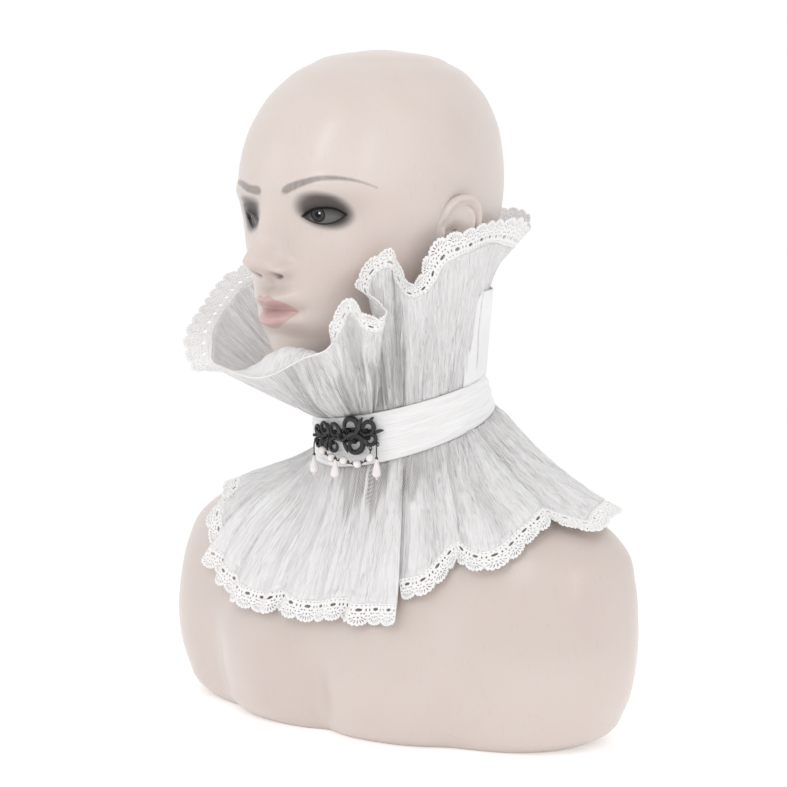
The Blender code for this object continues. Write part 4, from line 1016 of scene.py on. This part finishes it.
def cloth_piece(name, grid, along, seed, amount, net_in_shade, kind):
    """Cloth wall with pleats over a smooth grid, a raised sewn hem and marks for the net, which puts painted
    shade in the pleats' valleys.
    """
    shares = np.linspace(0, 1, grid.shape[1])[None, :] + 0 * along[:, None]
    left = fall_length(grid)
    hem = smooth_step(HEM_BAND + 1.5, HEM_BAND - 0.5, left)
    line = along[:, None] + 0 * shares
    height = pleats(line, shares, seed, amount, hem)
    normal = grid_normals(grid)
    middle = grid + normal * height[..., None]
    thick = CLOTH_THICK / 2 + 0.28 * hem
    # the pleats' deep valleys, where the net's painted shade goes
    shaded_valley = smooth_step(0.45, 0.05, height / max(amount, 1e-6))
    open_net = smooth_step(-0.25, 0.15, smooth_noise(seed + 8, line / 13.0 + 0.6 * shares))
    marks = {"net_in_shade": np.clip(net_in_shade * shaded_valley * (0.3 + 0.7 * open_net), 0, 1)}
    uv = np.stack([line, left], axis=-1)
    return wall_piece(name, middle, normal, thick, thick, CLOTHS[kind], uv, marks)


def make_ruffle():
    """Gathered strip standing from the band."""
    stations, along = even_stations(RUFFLE_STATIONS, RUFFLE_EDGE, 780)
    shares = np.linspace(0, 1, 38)
    grid, angle = ruffle_grid(stations, shares)
    patch = smooth_step(-38, -20, angle) * smooth_step(60, 46, angle)
    # where the net with its painted shade shows on the ruffle
    net_in_shade = patch[:, None] * smooth_step(0.72, 0.45, shares)[None, :]
    ruffle = cloth_piece("ruffle_cloth", grid, along, 11, 1.45, net_in_shade, "crinkle")
    finish_piece(ruffle, "root", "ruffle_collar")
    return ruffle


# Left stay: its two side edges, height, radius at foot and top, and its distance off the ruffle
STAY = dict(front=86.0, back=177.0, top=287.0, foot_radius=57.9, top_radius=62.3, off=1.6, wall=0.35)


def make_left_stay():
    """Smooth stiff panel over the ruffle's back part."""
    stations, _ = even_stations(RUFFLE_STATIONS, RUFFLE_EDGE, 420)
    ruffle_points, _ = ruffle_grid(stations, np.linspace(0, 1, 40))
    flat = ruffle_points.reshape(-1, 3)
    around, reach = round_axis(flat)
    around = np.degrees(around)
    angle, share = cross_grid(np.linspace(STAY["front"], STAY["back"], 64), np.linspace(0, 1, 30))
    corner = smooth_step(STAY["front"] + 14, STAY["front"], angle)
    turn = np.radians(angle)
    x = STAY["foot_radius"] * np.sin(turn)
    foot = ring_height(BAND_TOP, x, AXIS_Y - STAY["foot_radius"] * np.cos(turn)) + 0.4
    height = foot + (STAY["top"] - 9.0 * corner**2 - foot) * share
    line = STAY["foot_radius"] + (STAY["top_radius"] - STAY["foot_radius"]) * share
    under = np.zeros_like(line)
    for place in np.ndindex(*line.shape):
        near = ((around - angle[place]) * 1.05) ** 2 + (flat[:, 2] - height[place]) ** 2
        under[place] = reach[np.argsort(near)[:4]].mean()
    off = 0.2 + STAY["off"] * smooth_step(STAY["front"], STAY["front"] + 16, angle)
    off = off * np.minimum(1, 0.3 + 4 * share)
    line = line + smooth_step(158, 138, angle) * np.maximum(0, under + off - line)
    grid = polar(angle, eased_rows(line, 6), height)
    uv = np.stack([np.radians(angle) * BAND_RADIUS, height], axis=-1)
    half = STAY["wall"]
    stay = wall_piece("stay_left_panel", grid, grid_normals(grid), half, half, TAPE, uv)
    finish_piece(stay, "root", "back_stay_left")


def panel_grid(hem, stations, shares, waves, swell):
    """Points from the band down to the hem, kept clear of the bust."""
    last = len(hem) - 1.0
    table = np.array(hem, float)
    edge = curve_through(np.arange(len(hem)), polar(table[:, 0], table[:, 1], table[:, 2]), stations)
    ends = (table[0, 0], table[-1, 0])
    angle = ends[0] + (ends[1] - ends[0]) * stations / last
    hem_angle = np.degrees(round_axis(edge)[0])
    angle = np.clip(0.25 * angle + 0.75 * hem_angle, min(ends), max(ends))
    foot = ring_points(BAND_BOTTOM, np.radians(angle), 1.0)
    foot[:, 2] -= PANEL_DROP
    share = shares[None, :] + 0 * stations[:, None]
    point = foot[:, None] + (edge - foot)[:, None] * share[..., None]
    point[..., 2] += (edge[:, 2] - foot[:, 2])[:, None] * PANEL_SAG * share * (1.0 - share)
    wave = (0.5 + 0.5 * np.cos(2 * math.pi * waves * stations / last))[:, None]
    across, reach = round_axis(point)
    clear = PANEL_CLEAR * np.minimum(1.0, 0.2 + 2.0 * share) + swell * wave * share
    least = bust_radius(np.degrees(across), point[..., 2] - clear) + clear * 0.5
    eased = least + PANEL_EASE * np.log1p(np.exp((reach - least) / PANEL_EASE))
    eased = eased + swell * wave * share * 0.7
    reach = np.where(share > 0.0, eased, reach)
    point[..., 0] = reach * np.sin(across)
    point[..., 1] = AXIS_Y - reach * np.cos(across)
    return point, angle


# ---- lace

def lace_outline():
    """Outline of one repeat: straight seam, valleys between repeats and a fan with small loops."""
    outline = [(x, 0.0) for x in (0.0, 2.0, 4.0, 6.0, 8.0, 10.0, LACE_REPEAT)]
    outline += [(LACE_REPEAT, y) for y in (2.0, 4.0, 6.0, 8.0, LACE_VALLEY)]
    steps = 77
    for k in range(1, steps):
        turn = math.pi * k / steps
        loop = abs(math.sin(7.0 * turn)) ** 0.8
        x = 6.0 + 5.9 * math.cos(turn)
        fan = (LACE_HEIGHT - 1.3 - LACE_VALLEY) * math.sin(turn) ** 0.7
        outline.append((x, LACE_VALLEY + fan + 1.1 * loop))
    return outline + [(0.0, y) for y in (LACE_VALLEY, 8.0, 6.0, 4.0, 2.0)]


def inside_polygon(points, outline):
    """Which points lie inside an outline."""
    x, y = points[:, 0], points[:, 1]
    inside = np.zeros(len(points), bool)
    for (ax, ay), (bx, by) in zip(outline, outline[1:] + outline[:1]):
        if ay == by:
            continue
        crosses = (ay > y) != (by > y)
        inside ^= crosses & (x < (bx - ax) * (y - ay) / (by - ay) + ax)
    return inside


def lace_template():
    """Flat triangles of one lace repeat, with its holes left open."""
    outline = lace_outline()
    holes = []
    for cx, cy, half, tall, turn in LACE_HOLES:
        turn = math.radians(turn)
        sides = 18 if half > 2 else 8
        loop = []
        for k in range(sides):
            a = 2 * math.pi * k / sides
            x, y = turned(half * math.cos(a), tall * math.sin(a), turn)
            loop.append((cx + x, cy + y))
        holes.append(loop)
    points = []
    edges = []
    for loop in [outline] + holes:
        start = len(points)
        points += loop
        edges += [(start + k, start + (k + 1) % len(loop)) for k in range(len(loop))]
    extra = np.array([(x, y) for x in np.arange(1.0, 12.0, 1.25) for y in np.arange(0.9, 14.0, 1.3)])
    keep = inside_polygon(extra, outline)
    for loop in holes:
        centre = np.mean(loop, axis=0)
        keep &= ~inside_polygon(extra, [tuple(centre + (np.array(p) - centre) * 1.35) for p in loop])
    middle = np.array(LACE_MIDDLE)
    keep &= inside_polygon(extra, [tuple(middle + (np.array(p) - middle) * 0.95) for p in outline])
    points += [tuple(p) for p in extra[keep]]
    verts, _, faces, *_ = delaunay_2d_cdt([Vector(p) for p in points], edges, [], 0, 1e-6)
    verts = np.array([tuple(v) for v in verts])
    faces = np.array([f for f in faces if len(f) == 3])
    middle = verts[faces].mean(axis=1)
    good = inside_polygon(middle, outline)
    for loop in holes:
        good &= ~inside_polygon(middle, loop)
    return verts, faces[good]


TEMPLATE = lace_template()


def line_normals(edge, tip):
    """Normals of the strip between two lines."""
    normal = unit(np.cross(np.gradient(edge, axis=0), tip - edge))
    for _ in range(8):
        normal = unit(eased_rows(normal, 1))
    return normal


def lace_piece(name, edge, tip, seed):
    """Scalloped lace laid between an edge line and a tip line."""
    normal = line_normals(edge, tip)
    length = np.concatenate([[0], np.cumsum(np.linalg.norm(np.diff(edge, axis=0), axis=1))])
    repeats = max(2, int(round(length[-1] / LACE_REPEAT)))
    step = length[-1] / repeats
    verts, faces = TEMPLATE
    seam = np.where(np.abs(verts[:, 0]) < 1e-4)[0]
    joint = np.where(np.abs(verts[:, 0] - LACE_REPEAT) < 1e-4)[0]
    seam = seam[np.argsort(verts[seam, 1])]
    joint = joint[np.argsort(verts[joint, 1])]
    count = len(verts)
    flat = np.concatenate([verts + np.array((LACE_REPEAT * k, 0)) for k in range(repeats)])
    all_faces = np.concatenate([faces + count * k for k in range(repeats)])
    remap = np.arange(len(flat))
    for k in range(repeats - 1):
        remap[joint + count * k] = seam + count * (k + 1)
    all_faces = remap[all_faces]
    used = np.unique(all_faces)
    place = np.full(len(flat), -1)
    place[used] = np.arange(len(used))
    flat = flat[used]
    all_faces = place[all_faces]
    along = flat[:, 0] * step / LACE_REPEAT
    share = flat[:, 1] / LACE_HEIGHT
    low, high, side = (
        np.stack([np.interp(along, length, line[:, c]) for c in range(3)], axis=1)
        for line in (edge, tip, normal))
    side = unit(side)
    wave = 0.7 * smooth_noise(seed, along / 7.5) * share + 0.25 * np.sin(2 * np.pi * along / step) * share
    middle = low + (high - low) * (share * 1.07 - 0.035)[:, None] + side * wave[:, None]
    points = np.concatenate([middle + side * LACE_WALL / 2, middle - side * LACE_WALL / 2])
    half = len(middle)
    pairs = np.concatenate([all_faces[:, [0, 1]], all_faces[:, [1, 2]], all_faces[:, [2, 0]]])
    order = np.sort(pairs, axis=1)
    key = order[:, 0] * half + order[:, 1]
    _, first, counts = np.unique(key, return_index=True, return_counts=True)
    rim = pairs[first[counts == 1]]
    front = [tuple(f) for f in all_faces]
    back = [tuple(f) for f in (all_faces[:, ::-1] + half)]
    sides = [(b, a, a + half, b + half) for a, b in rim]
    uv = np.stack([along, flat[:, 1]], axis=1)
    return new_piece(name, points, front + back + sides, LACE, np.concatenate([uv, uv]), smooth=False)


def make_ruffle_lace():
    """Lace on the ruffle's free edge."""
    fine, _ = even_stations(RUFFLE_STATIONS, RUFFLE_EDGE, 1400)
    edge = curve_through(RUFFLE_STATIONS, RUFFLE_EDGE, fine)
    tip = curve_through(RUFFLE_STATIONS, RUFFLE_TIP, fine)
    lace = lace_piece("ruffle_lace_trim", edge, tip, 81)
    finish_piece(lace, "root", "ruffle_lace")
    return lace


def make_panel(name, hem, columns, waves, swell, seed, kind):
    """One gathered lower panel and its hem lace."""
    table = np.array(hem, float)
    edge = polar(table[:, 0], table[:, 1], table[:, 2])
    stations, along = even_stations(np.arange(len(hem)), edge, columns)
    shares = np.linspace(0, 1, PANEL_ROWS)
    grid, angle = panel_grid(hem, stations, shares, waves, swell)
    patch = smooth_step(-16, 4, angle) * smooth_step(75, 52, angle)
    reach = 0.26 + 0.14 * smooth_noise(seed + 9, along / 8.0)
    # where the net with its painted shade shows below the band
    net_in_shade = patch[:, None] * smooth_step(0.06, -0.04, shares[None, :] - reach[:, None])
    if name != "front_bib":
        tuck = smooth_step(2.0, 0.6, stations)[:, None] * smooth_step(0.0, 0.2, shares)[None, :]
        grid = grid - grid_normals(grid) * (1.9 * tuck)[..., None]
    panel = cloth_piece(name + "_cloth", grid, along, seed, 1.7, net_in_shade, kind)
    fine, _ = even_stations(np.arange(len(hem)), edge, 700)
    if name != "front_bib":
        fine = fine[fine >= 0.85]
    rim, _ = panel_grid(hem, fine, np.array((0.86, 1.0)), waves, swell)
    out = unit(rim[:, 1] - rim[:, 0])
    run = unit(np.gradient(rim[:, 1], axis=0))
    out = out - run * (out * run).sum(axis=1, keepdims=True) * 0.7
    out = unit(eased_rows(out, 220))
    tip = rim[:, 1] + out * HEM_LACE
    across, reach = round_axis(tip)
    grow = np.maximum(bust_radius(np.degrees(across), tip[:, 2]) + LACE_CLEAR, reach) / reach
    tip[:, 0] *= grow
    tip[:, 1] = AXIS_Y + (tip[:, 1] - AXIS_Y) * grow
    lace = lace_piece(name + "_trim", rim[:, 1], tip, seed + 7)
    finish_piece(panel, "root", name)
    finish_piece(lace, "root", name + "_lace")
    return panel, lace


# ---- brooch and pearls

def round_faces(rows, sides):
    """Faces of a capped body of rings."""
    faces = []
    for start in range(0, (rows - 1) * sides, sides):
        for k in range(sides):
            m = (k + 1) % sides
            faces.append((start + k, start + m, start + sides + m, start + sides + k))
    return faces + [tuple(range(sides))[::-1], tuple(range((rows - 1) * sides, rows * sides))]


def tube(path, radii, sides, facing=None):
    """Points and faces of a capped tube with its own radius at each place."""
    path = np.asarray(path, float)
    ahead = unit(np.gradient(path, axis=0))
    up = np.array((0.3, -0.2, 0.93)) if facing is None else facing
    points = []
    for point, forward, radius in zip(path, ahead, radii):
        side = unit(np.cross(forward, up))
        upright = np.cross(side, forward)
        for k in range(sides):
            turn = 2 * math.pi * k / sides
            points.append(point + radius * (side * math.cos(turn) + upright * math.sin(turn)))
        if facing is None:
            up = upright
    return np.array(points), round_faces(len(path), sides)


def lathe(base, rows, sides):
    """Points and faces of a turned body over its base point."""
    points = []
    for radius, height in rows:
        for k in range(sides):
            turn = 2 * math.pi * k / sides
            points.append(base + np.array((radius * math.cos(turn), radius * math.sin(turn), height)))
    return np.array(points), round_faces(len(rows), sides)


def join_parts(parts):
    """One list of points and faces from several."""
    points = []
    faces = []
    start = 0
    for part_points, part_faces in parts:
        points.append(part_points)
        faces += [tuple(i + start for i in f) for f in part_faces]
        start += len(part_points)
    return np.concatenate(points), faces


def ball(centre, radius, sides):
    """Points and faces of a ball with small flat poles."""
    pole = 0.08
    bows = np.linspace(pole, math.pi - pole, 15)
    return lathe(centre, [(radius * math.sin(a), -radius * math.cos(a)) for a in bows], sides)


def brooch_point(along, up, lift):
    """Point of the brooch, laid on the band's outer face."""
    angle = BROOCH["angle"] + math.degrees(along / (BAND_TOP["radius"] + 3.0))
    height = np.linalg.norm(band_points(angle, 1.0) - band_points(angle, 0.0))
    return band_points(angle, BROOCH["share"] - up / height, BROOCH["lift"] + lift)


def make_brooch():
    """Scrollwork of round bars with leaves over an open backing."""
    parts = []
    steps = 44
    for along, up, outer, turns, start, hand, wire in SCROLLS:
        path = []
        radii = []
        for k in range(steps + 1):
            share = k / steps
            turn = math.radians(start) + hand * 2 * math.pi * turns * share
            reach = outer * (1.0 - 0.62 * share)
            x, y = along + reach * math.cos(turn), up + reach * math.sin(turn)
            path.append(brooch_point(x, y, 1.2 + 1.0 * share))
            radii.append(wire * (0.55 + 0.75 * math.sin(math.pi * min(1.0, 0.12 + share)) ** 0.8))
        parts.append(tube(path, radii, 10))
        parts.append(ball(path[-1], wire * 1.25, 12))
    for along, up, length, turn, width in LEAVES:
        turn = math.radians(turn)
        path = []
        radii = []
        for share in np.linspace(0, 1, 14):
            bow = math.sin(share * math.pi)
            x, y = turned(length * share, length * (0.125 if along > 0 else -0.125) * bow, turn)
            path.append(brooch_point(along + x, up + y, 1.6 + 1.3 * bow))
            radii.append(width * math.sin(math.pi * (0.12 + 0.85 * share)) ** 0.8 + 0.15)
        parts.append(tube(path, radii, 8))
    for up, wave in ((2.4, 1.6), (0.0, 0.0), (-2.6, -1.6)):
        path = [brooch_point(x, up + wave * math.sin(x / 5.0), 0.6) for x in np.linspace(-24, 24, 60)]
        parts.append(tube(path, [1.0 + 0.35 * math.cos(k / 3.0) for k in range(60)], 8))
    for x in np.linspace(-20, 20, 9):
        parts.append(ball(brooch_point(x, 0.4 * math.sin(x), 1.7), 1.15, 10))
    small_piece("brooch_scrolls", join_parts(parts), METAL, "root", "brooch")


def hung_point(angle, height, out):
    """Point in front of the band at one height."""
    top = band_points(angle, 0.0)
    bottom = band_points(angle, 1.0)
    share = min((top[2] - height) / (top[2] - bottom[2]), 1.35)
    point = band_points(angle, share, out)
    point[2] = height
    return point


def small_piece(name, shape, material, body, node):
    """One small piece of metal or pearl on its body."""
    finish_piece(new_piece(name, *shape, material), body, node)


def ring_wire(centre, radius, wire):
    """Small closed ring of wire that faces the front."""
    normal = np.array((0.0, -1.0, 0.0))
    side = unit(np.cross(normal, np.array((0.1, 0.2, 0.97))))
    up = np.cross(normal, side)
    turns = np.linspace(0, 2 * math.pi, 19)
    path = [centre + radius * (side * math.cos(a) + up * math.sin(a)) for a in turns]
    return tube(path, [wire] * 19, 6, normal)


def make_pearls():
    """Round pearls with wire loops between them, and three drops with their rings."""
    centres = [hung_point(angle, height, PEARL_OUT) for angle, height in SWAG_PEARLS]
    for number, centre in enumerate(centres, start=1):
        small_piece(f"pearl_{number}", ball(centre, PEARL_RADIUS, 28), PEARL, "swag", f"swag_pearl_{number}")
    for number, (a, b) in enumerate(zip(centres, centres[1:]), start=1):
        step = unit(b - a)
        start = a + step * (PEARL_RADIUS - PEARL_BITE)
        end = b - step * (PEARL_RADIUS - PEARL_BITE)
        middle = (start + end) / 2 - np.array((0, 0, 0.8))
        path = curve_through(np.arange(3.0), np.array([start, middle, end]), np.linspace(0, 2, 12))
        parts = [tube(path, [WIRE] * 12, 8)]
        for place in (start, end):
            parts.append(ring_wire(place + (middle - place) * 0.25, 1.0, 0.32))
        small_piece(f"link_{number}", join_parts(parts), METAL, "swag", f"swag_link_{number}")
    for name, pearl, angle, height in SWAG_ENDS:
        top = hung_point(angle, height, PEARL_OUT - 1.4)
        start = centres[pearl] + unit(top - centres[pearl]) * (PEARL_RADIUS - PEARL_BITE)
        corners = np.array([start, (start + top) / 2, top])
        path = curve_through(np.arange(3.0), corners, np.linspace(0, 2, 10))
        parts = [tube(path, [WIRE] * 10, 8), ring_wire(top, 1.2, 0.38)]
        small_piece(name + "_wire", join_parts(parts), METAL, "swag", name)
    profile = np.array(DROP_PROFILE)
    rows = curve_through(np.arange(len(profile)), profile, np.linspace(0.05, len(profile) - 1.05, 34))
    rows = [(max(r, 0.15), h) for r, h in rows]
    for name, angle, height, wire, out in DROPS:
        top = hung_point(angle, height, out)
        end = hung_point(angle, height, max(out, PEARL_OUT)) - np.array((0, 0, wire))
        bend = (top + end) / 2 + np.array((0, 0, 0.2 * wire))
        bend[:2] = end[:2]
        corners = np.array([top, bend, end - np.array((0, 0, 0.4))])
        path = curve_through(np.arange(3.0), corners, np.linspace(0, 2, 16))
        parts = [tube(path, [WIRE] * 16, 8), ring_wire(end - np.array((0, 0, 0.1)), 0.9, 0.35)]
        if wire > LONG_WIRE:
            parts.append(ring_wire(top - np.array((0, 0, 1.0)), 1.3, 0.4))
        small_piece(name + "_ring", join_parts(parts), METAL, name, name + "_wire")
        base = end - np.array((0, 0, profile[-1, 1] + 0.3))
        small_piece(name + "_bead", lathe(base, rows, 28), PEARL, name, name + "_pearl")
        cap = [(0.25, -1.5), (0.6, -1.2), (0.65, -0.9), (0.45, -0.5), (0.8, -0.1), (1.2, 0.2), (0.8, 0.35)]
        small_piece(name + "_end", lathe(base, cap, 16), PEARL, name, None)


# ---- build

make_bust()
make_ear("ear_left", 1)
make_ear("ear_right", -1)
make_band()
ruffle = make_ruffle()
ruffle_trim = make_ruffle_lace()
for row, flat in zip(PANELS, ((0.20, 0.095), (0.34, 0.075), (0.27, 0.072))):
    panel, trim = make_panel(*row)
make_brooch()
make_pearls()
make_left_stay()
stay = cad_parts["back_stay_right"]
stay.data.materials.clear()
stay.data.materials.append(TAPE)

# ---- floor, light and camera

bpy.ops.mesh.primitive_circle_add(vertices=96, radius=FLOOR_RADIUS, fill_type="NGON", location=(0, 0, 0))
floor = bpy.context.object
floor.name = "studio_floor"
floor.data.materials.append(floor_material())

world = bpy.data.worlds.new("studio_white")
bpy.context.scene.world = world
world.use_nodes = True
world.node_tree.nodes["Background"].inputs["Color"].default_value = (1.0, 1.0, 1.0, 1.0)
world.node_tree.nodes["Background"].inputs["Strength"].default_value = 1.0

LIGHT_AIM = (0, 0, 0.24)
# Soft boxes: name, place, width, height, power
LIGHTS = (
    ("key_box", (0.25, -1.25, 1.45), 0.22, 0.9, 3.0),
    ("side_box", (1.35, -0.75, 1.15), 0.22, 0.9, 1.8),
    ("left_box", (-1.3, -1.2, 0.9), 0.5, 0.8, 0.8),
)
for name, place, wide, tall, power in LIGHTS:
    data = bpy.data.lights.new(name, "AREA")
    data.shape = "RECTANGLE"
    data.size = wide
    data.size_y = tall
    data.energy = power
    light = bpy.data.objects.new(name, data)
    light.location = place
    light.rotation_euler = (Vector(LIGHT_AIM) - Vector(place)).to_track_quat("-Z", "Y").to_euler()
    bpy.context.scene.collection.objects.link(light)

camera_data = bpy.data.cameras.new("camera")
camera_data.lens = CAMERA["lens"]
camera_data.sensor_width = 36.0
camera_data.clip_end = 20.0
camera = bpy.data.objects.new("camera", camera_data)
azimuth = math.radians(CAMERA["azimuth"])
elevation = math.radians(CAMERA["elevation"])
level = math.cos(elevation)
back = Vector((math.sin(azimuth) * level, -math.cos(azimuth) * level, math.sin(elevation)))
camera.location = (Vector(CAMERA["target"]) + back * CAMERA["distance"]) * MM
camera.rotation_euler = (-back).to_track_quat("-Z", "Y").to_euler()
bpy.context.scene.collection.objects.link(camera)
bpy.context.scene.camera = camera
bpy.context.scene.view_settings.view_transform = "Standard"
